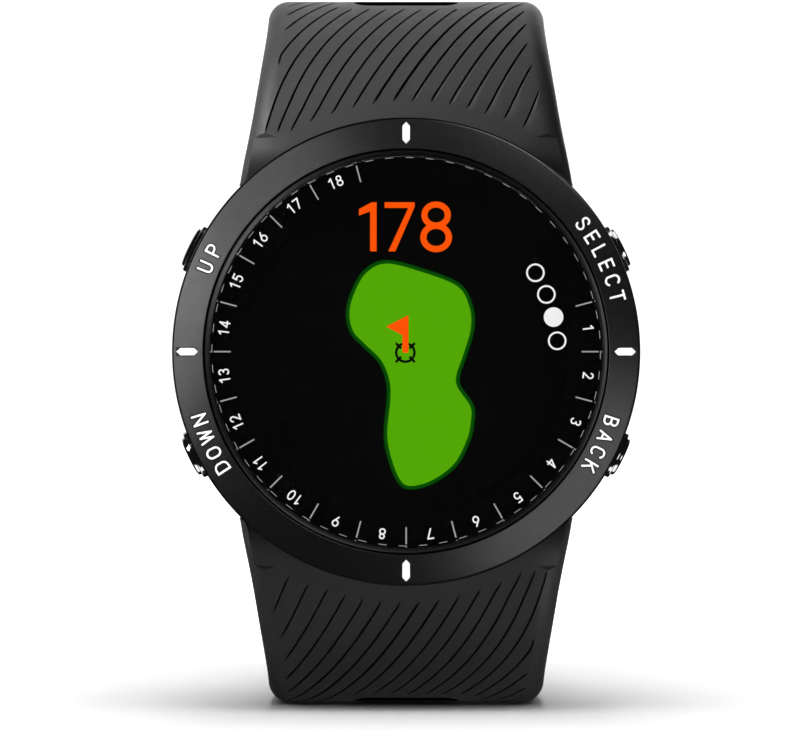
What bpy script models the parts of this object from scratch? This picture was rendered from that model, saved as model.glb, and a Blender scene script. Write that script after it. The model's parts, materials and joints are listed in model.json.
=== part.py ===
"""Golf GPS watch with an open, moulded strap in two halves.

Frame: +Z up (12 o'clock), the dial faces -Y, +X is 3 o'clock. The origin is the middle of the
case back's outer face, which lies on the wrist. Lengths below are millimetres; finish() scales
every mesh to metres.
"""

import math

import bmesh
import bpy
from mathutils import Matrix, Vector

MM = 0.001

# ---- driving dimensions ------------------------------------------------------------------
BEZEL_R = 22.0          # the bezel's outside, the widest part of the head
HEAD_DEPTH = 12.3       # bezel front to case back
CLEAR = 0.05            # gap between two pieces that sit against each other
ROUND = 64              # sides of the head's large round pieces

# The head's own depths run from the case back's outer face (0) forwards (negative Y).
BACK_Y = 0.0
FRONT_Y = -HEAD_DEPTH
SEAT_Y = -1.2           # where the case back lies on the case
BAR_Y = -5.2            # the spring bars and the buttons share this depth
FLANGE_BACK_Y = -8.5    # back of the flange that carries the bezel
FLANGE_FRONT_Y = -9.35
LEDGE_Y = -9.7          # the ledge that the lens stack rests on
LENS_FRONT_Y = -11.95
LENS_BACK_Y = -10.7

CASE_R = 21.0
CASE_FLAT = 15.4        # the case is cut flat above and below, where the strap knuckles turn
CAVITY_R = 16.9
CAVITY_FLAT = 12.9
LENS_R = 18.4
LENS_RING_R = 18.98
DISPLAY_R = 16.5
DISPLAY_ACTIVE_R = 15.24    # half of a 1.2 inch round display

BAR_Z = 18.7            # the spring bars, above and below the dial's centre
BAR_R = 0.8
BAR_TIP_R = 0.45
BAR_HALF = 8.9
TIP_START, TIP_END = 6.4, 12.2      # a spring bar tip, from the middle of its bar
TIP_BORE_R = 0.58       # the hole a tip slides in, in the bar and in the strap's ears
TENON_HALF = 9.0        # the case's lug block between the strap's two ears
TENON_R = 1.75
NOTCH_HALF = 9.3        # the strap's opening for the lug block
NOTCH_R = 2.05

BUTTON_ANGLE = 26.0     # above and below the 3 and 9 o'clock line
BUTTON_R = 2.35
BUTTON_TOP_R = 22.85    # how far from the dial's axis a button's face stands
STEM_R = 0.9
SCREW_ANGLE = 40.0
SCREW_RADIUS = 18.9
CONTACT_STEP = 2.54     # between the charging contacts
CONTACT_Z = -7.0

KNUCKLE_R = 3.0         # the strap's round end about its spring bar
BAND_HALF = 1.5         # half the strap's thickness past its knuckle
KNUCKLE_TAPER = 15.0    # the length over which the knuckle thins to the band
ROOT_TILT = 12.0        # degrees that the strap leans back where it leaves the case
ROOT_RUN = 3.89         # the straight stretch before the first bend
BEND_R = 12.5
BAND_WIDE_HALF = 13.3   # half the width past the flare beside the bezel
FLARE, FLARE_START, FLARE_LENGTH, FLARE_POWER = 2.1, -1.0, 18.0, 1.8
BUCKLE_WIDE_HALF = 11.0     # half the width at the buckle
NARROWING_START, NARROWING_LENGTH = 26.0, 24.0

HOLE_COUNT, HOLE_STEP = 8, 6.5      # the adjustment holes
HOLE_FROM_TIP = 20.0
HOLE_END_R, HOLE_STRETCH = 1.05, 0.35

PIN_R = 0.5             # the buckle's pin
PIN_HALF = 13.2
PIN_PLAY = 0.08         # round the pin in the frame and the tongue
BUCKLE_LENGTH = 10.5
BUCKLE_HALF = 13.5
BUCKLE_ARM = 2.1        # width of the frame's bars
BUCKLE_TOP = 1.5        # how far the frame reaches past its pin
BUCKLE_THICK_HALF = 1.1
TONGUE_HALF = 0.95

KEEPER_HALF = 11.25     # half of a keeper's opening
KEEPER_ROOM = 3.1       # the keeper's room above the band, for the other half's tail
KEEPER_UNDER = 0.15
KEEPER_WALL = 1.15
KEEPER_FIXED_FROM, KEEPER_FIXED_TO = 8.6, 4.6       # the fixed keeper, before the buckle's pin
KEEPER_BEND_AT = 66.0   # degrees round the bend at which the sliding keeper rests
KEEPER_HALF_TURN = 10.5

HEAD = Vector((0.0, 0.0, 0.0))      # the dial's axis, at the case back's outer face


# ---- materials ---------------------------------------------------------------------------
MATERIALS = {
    "case_plastic": ((0.030, 0.031, 0.033), 0.55, 0.0),
    "bezel_ceramic": ((0.060, 0.061, 0.064), 0.38, 0.35),
    "marker_white": ((0.86, 0.86, 0.85), 0.35, 0.0),
    "lens_glass": ((0.02, 0.02, 0.022), 0.04, 0.0),
    "dial_black": ((0.006, 0.006, 0.007), 0.45, 0.0),
    "display": ((0.004, 0.004, 0.005), 0.2, 0.0),
    "seal_rubber": ((0.02, 0.02, 0.02), 0.8, 0.0),
    "board_green": ((0.02, 0.12, 0.06), 0.5, 0.0),
    "shield_metal": ((0.62, 0.62, 0.60), 0.35, 1.0),
    "battery_foil": ((0.50, 0.51, 0.53), 0.35, 0.9),
    "contact_gold": ((0.85, 0.62, 0.28), 0.25, 1.0),
    "button_metal": ((0.045, 0.045, 0.048), 0.12, 1.0),
    "steel": ((0.60, 0.60, 0.61), 0.25, 1.0),
    "back_metal": ((0.22, 0.22, 0.23), 0.4, 0.9),
    "strap_silicone": ((0.035, 0.035, 0.037), 0.6, 0.0),
    "buckle_metal": ((0.10, 0.10, 0.105), 0.3, 1.0),
}


def material(name):
    """The Principled material of this name, made the first time it is asked for."""
    found = bpy.data.materials.get(name)
    if found:
        return found
    colour, roughness, metallic = MATERIALS[name]
    made = bpy.data.materials.new(name)
    made.use_nodes = True
    shader = made.node_tree.nodes["Principled BSDF"]
    shader.inputs["Base Color"].default_value = (*colour, 1.0)
    shader.inputs["Roughness"].default_value = roughness
    shader.inputs["Metallic"].default_value = metallic
    made.diffuse_color = (*colour, 1.0)
    return made


# ---- mesh helpers ------------------------------------------------------------------------
def finish(name, bm, material_name, origin=HEAD, turn=None):
    """Makes an object of a mesh drawn in millimetres about its own origin, and places it."""
    bmesh.ops.remove_doubles(bm, verts=bm.verts, dist=1e-4)
    bmesh.ops.recalc_face_normals(bm, faces=bm.faces)
    bmesh.ops.scale(bm, verts=bm.verts, vec=(MM, MM, MM))
    mesh = bpy.data.meshes.new(name)
    bm.to_mesh(mesh)
    bm.free()
    mesh.shade_smooth()
    mesh.set_sharp_from_angle(angle=math.radians(35))
    obj = bpy.data.objects.new(name, mesh)
    bpy.context.scene.collection.objects.link(obj)
    obj.location = Vector(origin) * MM
    if turn is not None:
        obj.rotation_euler = turn.to_euler()
    if material_name:
        mesh.materials.append(material(material_name))
    return obj


def boolean(obj, cutter, operation="DIFFERENCE"):
    """Cuts obj with a helper object, or joins the helper to it. The helper isn't rendered."""
    cutter.hide_render = True
    cutter.display_type = "WIRE"
    modifier = obj.modifiers.new(cutter.name, "BOOLEAN")
    modifier.operation = operation
    modifier.solver = "EXACT"
    modifier.object = cutter
    return obj


def turned(profile, steps=ROUND):
    """A profile of (radius, depth) points turned about Y: a ring unless it starts and ends on the axis."""
    bm = bmesh.new()
    points = [bm.verts.new((radius, depth, 0.0)) for radius, depth in profile]
    edges = [bm.edges.new(pair) for pair in zip(points, points[1:])]
    if profile[0][0] > 0:
        edges.append(bm.edges.new((points[-1], points[0])))
    bmesh.ops.spin(
        bm, geom=points + edges, cent=(0, 0, 0), axis=(0, 1, 0),
        angle=math.tau, steps=steps, use_merge=True,
    )
    return bm


def prism(outline, start, end, axis="Y"):
    """A flat outline extruded from start to end along Y (outline in X, Z) or X (outline in Y, Z)."""
    bm = bmesh.new()
    if axis == "Y":
        corners = [(x, start, z) for x, z in outline]
        along = (0, end - start, 0)
    else:
        corners = [(start, y, z) for y, z in outline]
        along = (end - start, 0, 0)
    face = bm.faces.new([bm.verts.new(corner) for corner in corners])
    side = bmesh.ops.extrude_face_region(bm, geom=[face])
    moved = [item for item in side["geom"] if isinstance(item, bmesh.types.BMVert)]
    bmesh.ops.translate(bm, verts=moved, vec=along)
    return bm


def rod(radius, start, end, axis="X", steps=16):
    """A plain cylinder along an axis through the origin."""
    turns = {"X": Matrix.Rotation(math.pi / 2, 4, "Y"), "Y": Matrix.Rotation(math.pi / 2, 4, "X")}
    middle = {"X": Vector((1, 0, 0)), "Y": Vector((0, 1, 0))}[axis] * (start + end) / 2
    bm = bmesh.new()
    bmesh.ops.create_cone(
        bm, cap_ends=True, segments=steps, radius1=radius, radius2=radius, depth=abs(end - start),
        matrix=Matrix.Translation(middle) @ turns[axis],
    )
    return bm


def block(low, high, bevel=0.0):
    """A box between two corners, its edges rounded off by bevel."""
    bm = bmesh.new()
    size = Vector(high) - Vector(low)
    middle = (Vector(high) + Vector(low)) / 2
    bmesh.ops.create_cube(bm, size=1.0, matrix=Matrix.Translation(middle) @ Matrix.Diagonal((*size, 1)))
    if bevel:
        bmesh.ops.bevel(bm, geom=bm.edges[:], offset=bevel, segments=1, affect="EDGES", profile=0.5)
    return bm


def loft(sections):
    """Joins closed sections of equal length, each a list of points, into one solid."""
    bm = bmesh.new()
    rings = [[bm.verts.new(point) for point in section] for section in sections]
    for ring, following in zip(rings, rings[1:]):
        count = len(ring)
        for i in range(count):
            j = (i + 1) % count
            bm.faces.new((ring[i], ring[j], following[j], following[i]))
    bm.faces.new(rings[0])
    bm.faces.new(reversed(rings[-1]))
    return bm


def arc(centre, radius, start, end, steps):
    """Points on a circle, angles in degrees, counter-clockwise from the first coordinate."""
    angles = [math.radians(start + (end - start) * i / steps) for i in range(steps + 1)]
    return [(centre[0] + radius * math.cos(a), centre[1] + radius * math.sin(a)) for a in angles]


def flatted_circle(radius, flat, steps=ROUND):
    """The outline (X, Z) of a circle cut flat above and below."""
    edge = math.degrees(math.asin(flat / radius))
    count = max(4, round(steps * 2 * edge / 360))
    return arc((0, 0), radius, -edge, edge, count) + arc((0, 0), radius, 180 - edge, 180 + edge, count)


def ring_between(outer, inner, start, end):
    """A flat ring between two outlines of the same number of points, extruded along Y."""
    corners = ((outer, start), (outer, end), (inner, end), (inner, start))
    loops = [[(x, depth, z) for x, z in outline] for outline, depth in corners]
    bm = bmesh.new()
    rings = [[bm.verts.new(point) for point in loop] for loop in loops]
    count = len(outer)
    for ring, following in zip(rings, rings[1:] + rings[:1]):
        for i in range(count):
            j = (i + 1) % count
            bm.faces.new((ring[i], ring[j], following[j], following[i]))
    return bm


# ---- the head ----------------------------------------------------------------------------
def make_case_body():
    """The case: a round shell with a lug block (tenon) above and below for the spring bars."""
    outside = [
        (0, SEAT_Y), (20.2, SEAT_Y), (CASE_R, -3.0), (CASE_R, FLANGE_BACK_Y), (21.3, FLANGE_BACK_Y - 0.2),
        (21.3, FLANGE_FRONT_Y), (19.0, FLANGE_FRONT_Y), (19.0, -10.6), (0, -10.6),
    ]
    case = finish("case_body", turned(outside), "case_plastic")
    pocket = [
        (0, -12), (LENS_R + 0.05, -12), (LENS_R + 0.05, LEDGE_Y), (DISPLAY_R + 0.2, LEDGE_Y),
        (DISPLAY_R + 0.2, -8.3), (0, -8.3),
    ]
    boolean(case, finish("cut_lens_pocket", turned(pocket), None))
    for side in (-1, 1):
        low, high = sorted((side * CASE_FLAT, side * 26.0))
        recess = block((-25, FLANGE_BACK_Y, low), (25, 2, high))
        boolean(case, finish(f"cut_knuckle_room_{side}", recess, None))
    for side in (-1, 1):
        boolean(case, finish(f"join_tenon_{side}", tenon(side), None), "UNION")
    cavity = prism(flatted_circle(CAVITY_R, CAVITY_FLAT, 48), -8.6, 2.0)
    boolean(case, finish("cut_cavity", cavity, None))
    for side in (-1, 1):
        bore = finish(f"cut_bar_bore_{side}", rod(BAR_R + 0.1, -12, 12), None,
                      HEAD + Vector((0, BAR_Y, side * BAR_Z)))
        boolean(case, bore)
    for name, angle in BUTTONS:
        boolean(case, finish(f"cut_{name}", button_hole(), None, HEAD, radial(angle)))
    for number, angle in enumerate(screw_angles(), 1):
        hole = finish(f"cut_screw_{number}", rod(0.65, -4.2, 0, "Y", 8), None, screw_place(angle))
        boolean(case, hole)
    return case


def tenon(side):
    """The lug block's side outline: a round end about the spring bar and a web into the case."""
    centre = (BAR_Y, side * BAR_Z)
    web_front, web_back = BAR_Y - 0.9, BAR_Y + TENON_R
    inner = side * (CASE_FLAT - 1.2)
    sweep = arc(centre, TENON_R, 0, side * 239, 14)
    outline = sweep + [(web_front, inner), (web_back, inner)]
    return prism(outline, -TENON_HALF, TENON_HALF, "X")


def radial(angle):
    """Turns +X to point out of the head at this angle (degrees from 3 o'clock, towards 12)."""
    return Matrix.Rotation(-math.radians(angle), 3, "Y")


BUTTONS = [
    ("select", BUTTON_ANGLE), ("back", -BUTTON_ANGLE),
    ("up", 180 - BUTTON_ANGLE), ("down", 180 + BUTTON_ANGLE),
]


def screw_angles():
    return [SCREW_ANGLE, 180 - SCREW_ANGLE, 180 + SCREW_ANGLE, -SCREW_ANGLE]


def screw_place(angle):
    a = math.radians(angle)
    return HEAD + Vector((SCREW_RADIUS * math.cos(a), 0, SCREW_RADIUS * math.sin(a)))


def lathe_x(profile, steps):
    """A profile of (distance from the dial's axis, radius) turned about the button's own line."""
    bm = turned([(radius, along) for along, radius in profile], steps)
    bmesh.ops.rotate(bm, verts=bm.verts, cent=(0, 0, 0), matrix=Matrix.Rotation(-math.pi / 2, 3, "Z"))
    bmesh.ops.translate(bm, verts=bm.verts, vec=(0, BAR_Y, 0))
    return bm


def button_hole():
    """A stepped hole: the well for the cap, the groove for the seal and the stem's hole."""
    profile = [
        (23.5, 0), (23.5, 2.5), (19.3, 2.5), (19.3, 1.02), (18.5, 1.02), (18.5, 1.6),
        (17.7, 1.6), (17.7, 1.02), (15.5, 1.02), (15.5, 0),
    ]
    return lathe_x(profile, 24)


def make_button(name, angle):
    """A push button: a domed cap on a stem, the seal round the stem, its clip and its switch."""
    turn = radial(angle)
    cap = [
        (16.0, 0), (16.0, STEM_R), (20.1, STEM_R), (20.1, BUTTON_R - 0.15), (20.25, BUTTON_R),
        (22.35, BUTTON_R), (22.62, BUTTON_R - 0.17), (22.78, 1.72), (BUTTON_TOP_R, 1.0), (BUTTON_TOP_R, 0),
    ]
    groove = finish(f"cut_clip_groove_{name}", clip_groove(), None, HEAD, turn)
    boolean(finish(f"button_{name}", lathe_x(cap, 24), "button_metal", HEAD, turn), groove)
    seal = [(17.8, 0.96), (17.8, 1.45), (18.4, 1.45), (18.4, 0.96)]
    finish(f"button_seal_{name}", lathe_x(seal, 16), "seal_rubber", HEAD, turn)
    finish(f"button_clip_{name}", retaining_clip(), "steel", HEAD, turn)
    switch = finish(f"switch_{name}", block((13.2, BAR_Y - 1.1, -1.5), (14.9, BAR_Y + 1.1, 1.5), 0.12),
                    "case_plastic", HEAD, turn)
    plunger = [(14.5, 0), (14.5, 0.7), (15.1, 0.7), (15.2, 0.55), (15.2, 0)]
    boolean(switch, finish(f"join_plunger_{name}", lathe_x(plunger, 12), None, HEAD, turn), "UNION")


def clip_groove():
    """The groove turned in a button's stem for its clip."""
    return lathe_x([(16.28, 0.62), (16.28, 1.1), (16.62, 1.1), (16.62, 0.62)], 16)


def retaining_clip():
    """A flat C of spring steel that snaps into the stem's groove."""
    outside = arc((BAR_Y, 0), 1.1, 55, 305, 14)
    inside = arc((BAR_Y, 0), 0.68, 305, 55, 12)
    return prism(outside + inside, 16.33, 16.57, "X")


def make_bezel():
    """The ring on the front, with four recesses for the markers."""
    profile = [
        (19.05, -9.4), (21.6, -9.4), (22.0, -9.8), (22.0, -11.72), (21.93, -11.9), (21.75, -12.0),
        (19.3, FRONT_Y), (19.05, -12.2),
    ]
    bezel = finish("bezel", turned(profile), "bezel_ceramic")
    for name, angle in (("3", 0), ("12", 90), ("9", 180), ("6", 270)):
        turn = radial(angle)
        boolean(bezel, finish(f"cut_marker_{name}", marker(0.06, -12.6, -11.75), None, HEAD, turn))
        finish(f"marker_{name}", marker(0.0, -12.17, -11.8), "marker_white", HEAD, turn)


def marker(grow, front, back):
    """A slim hexagon, pointed at both ends."""
    inner, outer, half, point = 19.6 - grow, 21.5 + grow, 0.36 + grow, 0.38
    outline = [
        (inner, 0), (inner + point, half), (outer - point, half), (outer, 0), (outer - point, -half),
        (inner + point, -half),
    ]
    return prism(outline, front, back)


def make_lens_stack():
    """Lens, its retaining ring, the printed number ring, the seal and the display."""
    lens = [
        (0, LENS_FRONT_Y), (17.9, LENS_FRONT_Y), (LENS_R, LENS_FRONT_Y + 0.3), (LENS_R, LENS_BACK_Y),
        (0, LENS_BACK_Y),
    ]
    finish("lens", turned(lens), "lens_glass")
    lens_ring = [
        (18.48, -10.65), (LENS_RING_R, -10.65), (LENS_RING_R, -12.22), (LENS_RING_R - 0.12, -12.25),
        (18.48, -11.85),
    ]
    finish("lens_ring", turned(lens_ring), "case_plastic")
    inner, outer = DISPLAY_ACTIVE_R + 0.1, LENS_R - 0.1
    number_ring = [(inner, -10.6), (inner, -10.3), (outer, -10.3), (outer, -10.6)]
    finish("number_ring", turned(number_ring), "dial_black")
    gasket = [(16.9, -10.25), (16.9, -9.75), (18.3, -9.75), (18.3, -10.25)]
    finish("lens_gasket", turned(gasket), "seal_rubber")
    panel = [(0, -10.25), (DISPLAY_R, -10.25), (DISPLAY_R, -8.75), (0, -8.75)]
    finish("display_panel", turned(panel), "display")


def make_electronics():
    """What the case holds behind the display."""
    finish("display_bracket", prism(flatted_circle(16.6, 12.6, 40), -8.5, -7.7), "case_plastic")
    finish("main_board", prism(flatted_circle(16.5, 12.6, 40), -7.1, -6.4), "board_green")
    finish("gps_module", block((-9.0, -6.35, 1.5), (-1.0, -5.15, 9.5), 0.15), "shield_metal")
    finish("radio_module", block((1.0, -6.35, -9.5), (8.0, -5.15, -3.5), 0.15), "shield_metal")
    finish("battery", block((-10, -5.05, -11), (10, -2.45, 11), 0.6), "battery_foil")
    finish("battery_connector", block((-14.6, -6.35, -1.6), (-11.4, -4.9, 1.6), 0.15), "marker_white")
    motor = turned([(0, -6.35), (2.9, -6.35), (2.9, -3.75), (0, -3.75)], 24)
    finish("vibration_motor", motor, "shield_metal", HEAD + Vector((13.6, 0, 0)))
    strip = arc((0, 0), 16.6, -44, 44, 16) + arc((0, 0), 16.1, 44, -44, 16)
    finish("gps_antenna", prism(strip, -7.6, -7.2), "contact_gold")


def make_case_back():
    """The screwed back with its seal, its four screws and the four charging contacts."""
    outline = flatted_circle(20.0, 15.2, 56)
    inner_edge = flatted_circle(19.6, 14.8, 56)
    sections = [
        [(x, SEAT_Y + CLEAR, z) for x, z in outline],
        [(x, -0.4, z) for x, z in outline],
        [(x, BACK_Y, z) for x, z in inner_edge],
    ]
    back = finish("case_back", loft(sections), "back_metal")
    seal_out, seal_in = flatted_circle(17.7, 13.7, 56), flatted_circle(17.1, 13.1, 56)
    groove_out, groove_in = flatted_circle(17.75, 13.75, 56), flatted_circle(17.05, 13.05, 56)
    groove = finish("cut_seal_groove", ring_between(groove_out, groove_in, -2.0, -0.62), None)
    boolean(back, groove)
    finish("back_seal", ring_between(seal_out, seal_in, SEAT_Y + 0.03, -0.67), "seal_rubber")
    for number, angle in enumerate(screw_angles(), 1):
        place = screw_place(angle)
        head_hole = [(0, -1.6), (0.66, -1.6), (0.66, -0.62), (1.05, -0.62), (1.05, 0.5), (0, 0.5)]
        boolean(back, finish(f"cut_screw_head_{number}", turned(head_hole, 16), None, place))
        screw = [
            (0, -3.9), (0.3, -3.9), (0.5, -3.6), (0.5, -0.57), (1.0, -0.57), (1.0, -0.12), (0.9, -0.05),
            (0, -0.05),
        ]
        made = finish(f"back_screw_{number}", turned(screw, 16), "steel", place)
        slot = arc((0, 0), 0.42, 0, 300, 5)
        boolean(made, finish(f"cut_screw_drive_{number}", prism(slot, -0.4, 0.5), None, place))
    for number in range(4):
        place = HEAD + Vector((CONTACT_STEP * (number - 1.5), 0, CONTACT_Z))
        boolean(back, finish(f"cut_contact_{number + 1}", rod(0.85, -2, 0.5, "Y", 16), None, place))
        contact = [(0, -1.9), (0.5, -1.9), (0.5, -1.1), (0.8, -1.1), (0.8, -0.2), (0.7, -0.1), (0, -0.1)]
        finish(f"charge_contact_{number + 1}", turned(contact, 16), "contact_gold", place)


def make_spring_bars():
    """Each spring bar is a tube in the case's lug block with a sprung tip at each end."""
    for half, side in (("upper", 1), ("lower", -1)):
        place = HEAD + Vector((0, BAR_Y, side * BAR_Z))
        tube = finish(f"spring_bar_{half}", rod(BAR_R, -BAR_HALF, BAR_HALF, steps=12), "steel", place)
        for end, sign in (("left", -1), ("right", 1)):
            low, high = sorted((sign * (TIP_START - 3.0), sign * (BAR_HALF + 0.6)))
            bore = rod(TIP_BORE_R, low, high, steps=12)
            boolean(tube, finish(f"cut_bar_{half}_{end}", bore, None, place))
            low, high = sorted((sign * TIP_START, sign * TIP_END))
            finish(f"bar_tip_{half}_{end}", rod(BAR_TIP_R, low, high, steps=12), "steel", place)


# ---- the strap ---------------------------------------------------------------------------
# A half's middle line runs in the YZ plane from its spring bar: runs of (length, degrees turned).
# Heading 0 points away from the dial (down for the lower half), 90 points back.
def bend(radius, degrees):
    return (radius * math.radians(degrees), degrees)


ROOT = [(ROOT_RUN, 0), bend(BEND_R, 90 - ROOT_TILT)]
UPPER_FLAT, UPPER_BEND_R, UPPER_BACK = 17.0, 17.5, 9.0
LOWER_FLAT, LOWER_BEND_R, LOWER_BACK = 14.0, 30.0, 44.0
UPPER_RUNS = ROOT + [(UPPER_FLAT, 0), bend(UPPER_BEND_R, 90), (UPPER_BACK, 0)]
LOWER_RUNS = ROOT + [(LOWER_FLAT, 0), bend(LOWER_BEND_R, 62), (LOWER_BACK, 26)]
UPPER_LENGTH = sum(length for length, _ in UPPER_RUNS)
LOWER_LENGTH = sum(length for length, _ in LOWER_RUNS)
ROOT_LENGTH = sum(length for length, _ in ROOT)


def along(runs, s):
    """(y, drop, heading in radians) of the middle line s from the bar; drop is away from the dial."""
    y, drop, heading = BAR_Y, BAR_Z, math.radians(ROOT_TILT)
    if s < 0:
        return y + s * math.sin(heading), drop + s * math.cos(heading), heading
    for length, degrees in runs:
        part = min(s, length)
        turn = math.radians(degrees) * part / length
        if abs(turn) < 1e-9:
            y += part * math.sin(heading)
            drop += part * math.cos(heading)
        else:
            radius = part / turn
            y += radius * (math.cos(heading) - math.cos(heading + turn))
            drop += radius * (math.sin(heading + turn) - math.sin(heading))
        heading += turn
        s -= part
        if s <= 0:
            break
    return y, drop, heading


def smooth(t):
    t = min(max(t, 0.0), 1.0)
    return t * t * (3 - 2 * t)


def half_thick(s):
    """Half the strap's thickness: a round knuckle, then a taper to the moulded band."""
    if s < 0:
        return math.sqrt(max(KNUCKLE_R**2 - s * s, 0.0))
    return KNUCKLE_R + (BAND_HALF - KNUCKLE_R) * smooth(s / KNUCKLE_TAPER)


def half_wide(s):
    """Half the strap's width: a flare beside the bezel, and a narrowing before the buckle."""
    flare = FLARE * max(1 - (s - FLARE_START) / FLARE_LENGTH, 0.0) ** FLARE_POWER
    near = BAND_WIDE_HALF + flare
    return near - (near - BUCKLE_WIDE_HALF) * smooth((s - NARROWING_START) / NARROWING_LENGTH)


def place_on(runs, side, s, x, lift):
    """A point x across the strap and lift out of its middle line, in the head's frame."""
    y, drop, heading = along(runs, s)
    return Vector((x, y - lift * math.cos(heading), side * (drop + lift * math.sin(heading))))


def section(runs, side, s, half_width, half):
    """The strap's outline across s: a flat face, rounded outer edges and softened inner ones."""
    outer, inner = min(1.6, half * 1.05), min(0.7, half * 0.6)
    right = [
        (half_width - outer, half), (half_width - outer * 0.5, half - outer * 0.13),
        (half_width - outer * 0.13, half - outer * 0.5), (half_width, half - outer),
        (half_width, inner - half), (half_width - inner, -half),
    ]
    around = right + [(-x, lift) for x, lift in reversed(right)]
    return [place_on(runs, side, s, x, lift) for x, lift in around]


def stations(runs, end):
    """Where the strap is sectioned: close in the bends, far apart where it is straight."""
    found = [-KNUCKLE_R * math.sin(math.radians(a)) for a in (84, 66, 44, 22)]
    start = 0.0
    for length, degrees in runs:
        steps = max(1, round(abs(degrees) / 7.5), round(length / 8))
        found += [start + length * i / steps for i in range(steps)]
        start += length
    return [s for s in found if s < end - 0.5] + [end]


def strap_body(runs, side, length, tip):
    """One half of the strap, lofted along its middle line; tip gives (s, width, thickness) at its end."""
    cut = length - tip[0][0] if tip else length
    sections = []
    for s in stations(runs, cut):
        sections.append(section(runs, side, s, half_wide(s), half_thick(s)))
    for from_end, width, thick in tip:
        if from_end < tip[0][0]:
            s = length - from_end
            sections.append(section(runs, side, s, half_wide(s) * width, half_thick(s) * thick))
    return loft(sections)


def root_notch(side):
    """The room that the case's lug block turns in: round about the bar and open at the back."""
    def ray(angle, distance):
        a = math.radians(angle)
        return (distance * math.sin(a), side * distance * math.cos(a))
    around = [ray(a, NOTCH_R) for a in range(24, -101, -12)]
    open_side = [ray(-100, 8.0), ray(-150, 9.0), ray(180, 9.0), ray(135, 12.0), ray(80, 9.0), ray(24, 8.0)]
    return prism(around + open_side, -NOTCH_HALF, NOTCH_HALF, "X")


def make_strap_half(half, side, runs, length, tip):
    """A strap half on its spring bar, its origin on the bar's axis."""
    bar = Vector((0, BAR_Y, side * BAR_Z))
    bm = strap_body(runs, side, length, tip)
    bmesh.ops.translate(bm, verts=bm.verts, vec=-bar)
    strap = finish(f"strap_{half}", bm, "strap_silicone", HEAD + bar)
    boolean(strap, finish(f"cut_notch_{half}", root_notch(side), None, HEAD + bar))
    hole_end = TIP_END + 0.3
    tip_hole = rod(TIP_BORE_R, -hole_end, hole_end, steps=12)
    boolean(strap, finish(f"cut_tip_hole_{half}", tip_hole, None, HEAD + bar))
    return strap


def tail_holes():
    """Distances of the tail's adjustment holes from its spring bar."""
    return [LOWER_LENGTH - HOLE_FROM_TIP - HOLE_STEP * i for i in range(HOLE_COUNT)]


def make_lower_strap():
    """The long half, with the adjustment holes."""
    tip = [(8.0, 1, 1), (4.6, 0.95, 0.94), (2.0, 0.80, 0.86), (0.7, 0.62, 0.78), (0.0, 0.40, 0.60)]
    strap = make_strap_half("lower", -1, LOWER_RUNS, LOWER_LENGTH, tip)
    for number, s in enumerate(tail_holes(), 1):
        y, drop, heading = along(LOWER_RUNS, s)
        outline = arc((HOLE_STRETCH, 0), HOLE_END_R, -90, 90, 6)
        outline += arc((-HOLE_STRETCH, 0), HOLE_END_R, 90, 270, 6)
        turn = Matrix.Rotation(heading, 3, "X")
        hole = finish(f"cut_hole_{number}", prism(outline, -4, 4), None, HEAD + Vector((0, y, -drop)), turn)
        boolean(strap, hole)
    return strap


def buckle_pin_place():
    y, drop, _ = along(UPPER_RUNS, UPPER_LENGTH)
    return HEAD + Vector((0, y, drop))


def make_upper_strap():
    """The short half, which ends in a loop round the buckle's pin."""
    tip = [(1.5, 1, 1), (0.5, 0.985, 0.8), (0, 0.97, 0.5)]
    strap = make_strap_half("upper", 1, UPPER_RUNS, UPPER_LENGTH + tip[0][0], tip)
    pin = buckle_pin_place()
    boolean(strap, finish("cut_pin_hole", rod(PIN_R + 0.12, -14, 14, steps=12), None, pin))
    boolean(strap, finish("cut_tongue_notch", block((-1.5, -4, -4), (1.5, 4, 2.2)), None, pin))
    return strap


# ---- buckle and keepers ------------------------------------------------------------------
def make_buckle():
    """The frame, its tongue and the pin that both turn on; they hang straight down from the pin."""
    pin = buckle_pin_place()
    corner, inner_corner = 1.6, 0.8
    inner_half, inner_end = BUCKLE_HALF - BUCKLE_ARM, BUCKLE_ARM - BUCKLE_LENGTH
    outer = [
        (-BUCKLE_HALF, BUCKLE_TOP), (-BUCKLE_HALF, corner - BUCKLE_LENGTH),
        (corner - BUCKLE_HALF, -BUCKLE_LENGTH), (BUCKLE_HALF - corner, -BUCKLE_LENGTH),
        (BUCKLE_HALF, corner - BUCKLE_LENGTH), (BUCKLE_HALF, BUCKLE_TOP),
    ]
    inner = [
        (inner_half, BUCKLE_TOP), (inner_half, inner_end + inner_corner),
        (inner_half - inner_corner, inner_end), (inner_corner - inner_half, inner_end),
        (-inner_half, inner_end + inner_corner), (-inner_half, BUCKLE_TOP),
    ]
    outline = prism(outer + inner, -BUCKLE_THICK_HALF, BUCKLE_THICK_HALF)
    frame = finish("buckle_frame", outline, "buckle_metal", pin)
    rounding = frame.modifiers.new("soft_edges", "BEVEL")
    rounding.width = 0.3 * MM
    rounding.segments = 2
    rounding.limit_method = "ANGLE"
    rounding.angle_limit = math.radians(40)
    boolean(frame, finish("cut_frame_pin", rod(PIN_R + PIN_PLAY, -15, 15, steps=12), None, pin))
    rest = finish("cut_tongue_rest", block((-1.25, 0.72, -11), (1.25, 2, -7.8)), None, pin)
    boolean(frame, rest)
    finish("buckle_pin", rod(PIN_R, -PIN_HALF, PIN_HALF, steps=12), "steel", pin)
    tongue = finish("buckle_tongue", tongue_shape(), "buckle_metal", pin)
    boolean(tongue, finish("cut_tongue_pin", rod(PIN_R + PIN_PLAY, -3, 3, steps=12), None, pin))


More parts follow.
